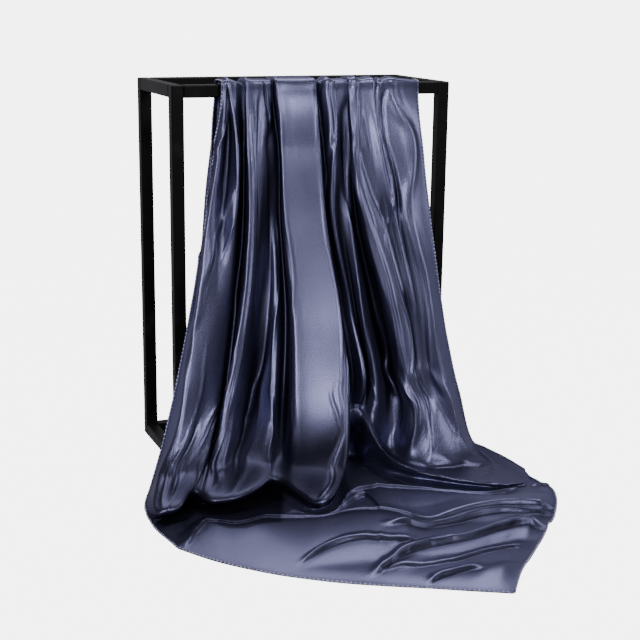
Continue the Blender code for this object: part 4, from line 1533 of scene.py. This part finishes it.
    def back_creases(self, back: np.ndarray) -> np.ndarray:
        """Relief of the creases on the back drop, which nobody sees in the photograph.

        Args:
            back: The base grid's rows behind the rail.

        Returns:
            Relief in millimetres.
        """
        relief = np.zeros(back.shape[:2])
        reach = reach_along(back, 1)
        for number, crease in enumerate(BACK_CREASES):
            column = self.column_of[crease.line]
            z = back[:, column, 2]
            away = reach - (reach[:, column] + crease.offset)[:, None]
            ends = smooth_step((z - crease.bottom) / self.back_crease_fade)
            waver = 1 + self.crease_waver * np.sin(z / self.back_crease_waver_height + number)
            relief += (crease.height * ends * waver)[:, None] * bell(away, crease.width)
        return relief

    def ripple_relief(self, grid: np.ndarray) -> np.ndarray:
        """A finer ripple between the pleats of the back drop.

        It is a cosine with one wave from each fold line to the next, and it eases to nothing at the rail.

        Args:
            grid: The base grid.

        Returns:
            Relief in millimetres.
        """
        fold = np.interp(np.arange(grid.shape[1]), self.line_columns, np.arange(len(FOLD_LINES)))
        row = np.arange(len(grid))[:, None]
        fade = smooth_step((self.rail_row - row) / (self.ripple_fade * self.rail_row))
        waver = 1 + self.ripple_waver * np.sin(self.ripple_fold_turns * fold + self.ripple_row_turns * row)
        return self.back_ripple * fade * waver * -np.cos(2 * np.pi * fold)

    def build(self) -> "list[bpy.types.Object]":
        """Make the three surfaces.

        Returns:
            The drop behind, the front and the train.
        """
        grid = self.base_grid()
        grid = grid + self.crease_relief(grid)[..., None] * grid_normals(grid, self.normal_passes)
        grid[..., 2] = np.maximum(grid[..., 2], self.floor_gap)
        self.grid = grid
        self.normals = grid_normals(grid)
        # Painted shade at each point, kept on the surfaces to darken the satin's colour.
        self.painted_shade = self.shade.on(self)
        down = np.linalg.norm(np.diff(grid, axis=0), axis=2).mean(axis=1)
        along = np.concatenate([[0.0], np.cumsum(down)]) / down.sum() * self.flat[1]
        self.flat_places = np.stack(np.meshgrid(np.linspace(0, self.flat[0], grid.shape[1]), along), axis=-1)
        self.cuts = (0, self.rail_row, self.edge_row, len(grid) - 1)
        satin = self.satin.material()
        made = []
        for k, (name, nodes) in enumerate((
                ("satin_back_drop", ("scarf_back_drop",)),
                ("satin_front", ("scarf_over_rail", "scarf_front_fall")),
                ("satin_train", ("scarf_train",)))):
            made.append(self.surface(name, slice(self.cuts[k], self.cuts[k + 1] + 1), satin))
            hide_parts(*nodes)
        return made

    def surface(self, name: str, rows: slice, satin: bpy.types.Material) -> bpy.types.Object:
        """One stretch of the scarf as a mesh, shaded with the whole scarf's normals and carrying its painted
        shade.

        Args:
            name: The piece's name.
            rows: Its rows.
            satin: Its finish.

        Returns:
            The object.
        """
        points = self.grid[rows]
        piece = mesh_piece(name, points.reshape(-1, 3) * MM + self.shift, quads_of(*points.shape[:2]), satin,
                           self.flat_places[rows].reshape(-1, 2))
        # The painted shade goes on the mesh as a point attribute.
        painted_shade = piece.data.attributes.new(PAINTED_SHADE, "FLOAT", "POINT")
        painted_shade.data.foreach_set("value", flat_floats(self.painted_shade[rows]))
        piece.data.normals_split_custom_set_from_vertices(self.normals[rows].reshape(-1, 3).tolist())
        return piece

    def declare(self, pieces: "list[bpy.types.Object]", hems: "list[bpy.types.Object]") -> None:
        """Work out the flat length of each stretch that shows, without keeping or stating it.

        Args:
            pieces: The three surfaces.
            hems: The hems and stitches on the cloth.
        """
        for k, piece in enumerate(pieces):
            reach = self.flat_places[self.cuts[k + 1], 0, 1] - self.flat_places[self.cuts[k], 0, 1]
            hems if k == 1 else ()


@dataclass
class RolledHems:
    """The narrow rolled and stitched hem round the scarf's four edges."""

    scarf: Scarf
    radius: float = 1.4
    pitch: float = 2.0
    sides: int = 8
    pucker: float = 0.20
    drift: float = 0.10
    sideways_drift: float = 0.25
    drift_lengths: "tuple[float, float]" = (31.0, 13.0)
    floor_gap: float = 0.05
    stitch_every: float = 6.0
    stitch_radius: float = 0.85
    stitch_sides: int = 4
    stitch_lean: "tuple[float, float, float]" = (0.3, 0.5, 0.81)
    satin: Satin = field(default_factory=lambda: Satin(name="hem_satin", roughness=0.42))
    thread: Thread = field(default_factory=Thread)

    def edge_path(self, edge: np.ndarray, inner: np.ndarray) -> "tuple[np.ndarray, np.ndarray]":
        """The hem's centre line, evenly spaced, and its outward direction.

        Args:
            edge: The cloth's edge.
            inner: The line of points next to it.

        Returns:
            Points and unit vectors, in millimetres.
        """
        run = unit(np.gradient(edge, axis=0))
        out = edge - inner
        out = unit(out - run * (out * run).sum(axis=1, keepdims=True))
        reach = reach_along(edge, 0)
        even = np.linspace(0, reach[-1], int(reach[-1] / self.pitch))
        return read_along(even, reach, edge), unit(read_along(even, reach, out))

    def build(self) -> "list[bpy.types.Object]":
        """Make a rolled hem along each edge, puckered between its stitches, and the stitches.

        The radius is a sine along the hem, one wave to a stitch, and it drifts in two longer waves.

        Returns:
            The hems and the stitches.
        """
        satin, thread = self.satin.material(), self.thread.material()
        made = []
        stitches = []
        for side in Side:
            node, edge, inner = side.value
            points, outward = self.edge_path(self.scarf.grid[edge], self.scarf.grid[inner])
            reach = np.arange(len(points)) * self.pitch
            pucker = np.sin(2 * np.pi * reach / self.stitch_every)
            drift = np.sin(reach / self.drift_lengths[0]) + 0.6 * np.sin(reach / self.drift_lengths[1] + 2.0)
            radius = self.radius * (1 + self.pucker * pucker + self.drift * drift)
            centre = points + outward * (0.5 * self.radius + self.sideways_drift * drift)[:, None]
            centre[:, 2] = np.maximum(centre[:, 2], radius + self.floor_gap)
            verts, faces = tube(centre, radius, self.sides)
            verts = (verts * MM + self.scarf.shift).astype(np.float32)
            flat = verts[:, [0, 2]] + verts[:, [1]]
            made.append(mesh_piece(node + "_roll", verts, faces, satin, flat))
            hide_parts(node)
            stitches.append(self.stitch_points(centre, outward, radius))
        made.append(self.stitch_piece(np.concatenate(stitches), thread))
        return made

    def stitch_points(self, centre: np.ndarray, outward: np.ndarray, radius: np.ndarray) -> np.ndarray:
        """Slanted stitches that cross the hem's face side, three points each.

        A stitch starts inside the hem on the cloth's side, passes just over its face, and ends low on its
        outer side, in shares of the hem's radius, and it leans forward by a little more than a millimetre.

        Args:
            centre: The hem's centre line.
            outward: Its outward directions.
            radius: Its radius.

        Returns:
            An array of stitches, points and coordinates.
        """
        pick = np.arange(2, len(centre) - 3, int(round(self.stitch_every / self.pitch)))
        run = unit(centre[pick + 1] - centre[pick - 1])
        face = np.cross(run, outward[pick])
        face *= np.where(face[:, 2:] < 0, -1.0, 1.0)
        size = radius[pick][:, None]
        low = centre[pick] - outward[pick] * 1.1 * size - run * 0.7
        high = centre[pick] + outward[pick] * 0.7 * size + face * 0.6 * size + run * 0.5
        middle = centre[pick] + face * 1.08 * size
        return np.stack([low, middle, high], axis=1)

    def stitch_piece(self, paths: np.ndarray, thread: bpy.types.Material) -> bpy.types.Object:
        """All stitches as one mesh of short square-sided threads, thick in the middle.

        Args:
            paths: An array of stitches, points and coordinates.
            thread: Their finish.

        Returns:
            The piece.
        """
        sides = self.stitch_sides
        paths[..., 2] = np.maximum(paths[..., 2], self.stitch_radius + 2 * self.floor_gap)
        run = unit(paths[:, 2] - paths[:, 0])
        side = unit(np.cross(run, self.stitch_lean))
        girth = self.stitch_radius * np.array([0.5, 1.0, 0.5])[:, None, None]
        points = paths[:, :, None] + girth * rings(side, np.cross(side, run), sides)[:, None]
        first_cap = np.arange(sides)
        caps = np.array([first_cap, 3 * sides - 1 - first_cap])
        one = np.concatenate([quads_of(3, sides, closed=True), caps])
        faces = (one[None] + 3 * sides * np.arange(len(paths))[:, None, None]).reshape(-1, 4)
        return mesh_piece("hem_stitches", points.reshape(-1, 3) * MM + self.scarf.shift, faces, thread)


@dataclass
class BoxFrame:
    """The black frame of square tube: its packed bars with a fine painted finish."""

    paint: BlackPaint = field(default_factory=BlackPaint)

    def dress(self, nodes: "dict[str, bpy.types.Object]") -> "list[bpy.types.Object]":
        """Give every bar the paint.

        Args:
            nodes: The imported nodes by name.

        Returns:
            The bars.
        """
        paint = self.paint.material()
        bars = [node for name, node in nodes.items() if name.startswith(("post_", "rail_"))]
        for bar in bars:
            bar.data.materials.clear()
            bar.data.materials.append(paint)
        return bars


# The studio


@dataclass(frozen=True)
class SoftBox:
    """A rectangular soft light that faces a point."""

    name: str
    place: "tuple[float, float, float]"
    aim: "tuple[float, float, float]"
    long_side: float
    short_side: float
    power: float
    lie: Along = Along.UPRIGHT

    def hang(self) -> None:
        """Add the light."""
        lamp = bpy.data.lights.new(self.name, "AREA")
        lamp.shape = "RECTANGLE"
        upright = self.lie is Along.UPRIGHT
        lamp.size = self.short_side if upright else self.long_side
        lamp.size_y = self.long_side if upright else self.short_side
        lamp.energy = self.power
        made = bpy.data.objects.new(self.name, lamp)
        made.location = self.place
        made.rotation_euler = (Vector(self.aim) - made.location).to_track_quat("-Z", "Y").to_euler()
        made.visible_camera = False
        bpy.context.scene.collection.objects.link(made)


@dataclass
class Studio:
    """Pale floor, soft lights, a quiet world and the camera at the photograph's angle."""

    shift: np.ndarray
    view: PhotoView = field(default_factory=PhotoView)
    backdrop: "tuple[float, ...]" = (5.6, 5.6, 5.6, 1.0)
    world_light: float = 0.5
    floor_size: float = 8.0
    floor_drop: float = 0.0004
    wall_start: float = -0.2
    wall_end: float = 0.45
    front_glow: tuple = ((0.0, (0.50, 0.50, 0.55, 1.0)), (0.42, (0.42, 0.42, 0.46, 1.0)),
                         (0.54, (0.20, 0.20, 0.22, 1.0)), (0.70, (0.02, 0.02, 0.025, 1.0)))
    back_glow: tuple = ((0.0, (0.40, 0.40, 0.44, 1.0)), (0.5, (1.2, 1.2, 1.3, 1.0)),
                        (0.62, (1.2, 1.2, 1.3, 1.0)), (0.76, (0.03, 0.03, 0.035, 1.0)))
    floor: PaleFloor = field(default_factory=PaleFloor)
    lights: "tuple[SoftBox, ...]" = (
        SoftBox("top_back", (0.15, 0.7, 2.1), (0.0, -0.35, 0.0), 2.6, 1.3, 52.0, Along.LEVEL),
        SoftBox("front", (1.15, -3.9, 2.58), (0.0, -0.1, 0.15), 1.7, 0.8, 108.0, Along.LEVEL),
        SoftBox("key_left", (-1.45, -1.75, 1.05), (0.0, -0.1, 0.2), 1.0, 0.7, 40.0, Along.LEVEL),
        SoftBox("right", (2.0, -0.5, 0.8), (0.1, -0.1, 0.3), 1.0, 0.4, 12.0),
    )

    def build(self) -> None:
        """Set the studio up."""
        self.set_camera()
        self.lay_floor()
        self.light_world()
        for light in self.lights:
            light.hang()

    def set_camera(self) -> None:
        """Put the camera where the photograph was taken from, fitted to the frame's corners."""
        lens = bpy.data.cameras.new("photo_camera")
        lens.lens = self.view.lens
        lens.sensor_width = self.view.sensor
        camera = bpy.data.objects.new("photo_camera", lens)
        camera.location = np.array(self.view.place) * MM + self.shift
        camera.rotation_euler = np.radians(self.view.turn)
        bpy.context.scene.collection.objects.link(camera)
        bpy.context.scene.camera = camera

    def lay_floor(self) -> None:
        """Lay a square pale floor just under the part."""
        half, low = self.floor_size / 2, -self.floor_drop
        corners = [(-half, -half, low), (half, -half, low), (half, half, low), (-half, half, low)]
        mesh = bpy.data.meshes.new("studio_floor")
        mesh.from_pydata(corners, [], [(0, 1, 2, 3)])
        mesh.materials.append(self.floor.material())
        floor = bpy.data.objects.new("studio_floor", mesh)
        bpy.context.scene.collection.objects.link(floor)
        floor.visible_glossy = False
        floor.visible_diffuse = False

    def light_world(self) -> None:
        """A pale backdrop to the camera, and to the cloth a room pale at the sides and dark overhead."""
        world = bpy.data.worlds.new("studio")
        bpy.context.scene.world = world
        graph = Graph(world)
        way = graph.node("ShaderNodeTexCoord").outputs["Generated"]
        parted = graph.node("ShaderNodeSeparateXYZ", i0=way)
        height = 0.5 * Value(graph, parted.outputs[2]) + 0.5
        behind = graph.value("ShaderNodeMapRange", {"interpolation_type": "SMOOTHSTEP"},
                             Value=parted.outputs[1], i1=self.wall_start, i2=self.wall_end)
        front, back = (graph.node("ShaderNodeValToRGB", {"stops": stops}, Fac=height).outputs[0]
                       for stops in (self.front_glow, self.back_glow))
        glow = graph.mix(behind, front, back)
        room = graph.node("ShaderNodeBackground", Color=glow, Strength=self.world_light)
        seen = graph.node("ShaderNodeBackground", Color=self.backdrop, Strength=1.0)
        straight = graph.node("ShaderNodeLightPath").outputs["Is Camera Ray"]
        both = graph.node("ShaderNodeMixShader", i0=straight, i1=room.outputs[0], i2=seen.outputs[0])
        graph.node("ShaderNodeOutputWorld", Surface=both.outputs[0])


def main() -> None:
    """Build the studio, the frame, the scarf and its hems, and log how many bars and faces they have."""
    logging.basicConfig(level=logging.INFO, format="%(name)s: %(message)s")
    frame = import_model()
    shift = np.array(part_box("post_front_left")[0]) - np.array(POST_CORNER)
    Studio(shift).build()
    bars = BoxFrame().dress(frame["nodes"])
    LOG.info("frame: %d bars", len(bars))
    scarf = Scarf(shift)
    cloth = scarf.build()
    hems = RolledHems(scarf).build()
    scarf.declare(cloth, hems)
    for piece in cloth + hems:
        LOG.info("%s: %d faces", piece.name, len(piece.data.polygons))


if __name__ == "__main__":
    main()
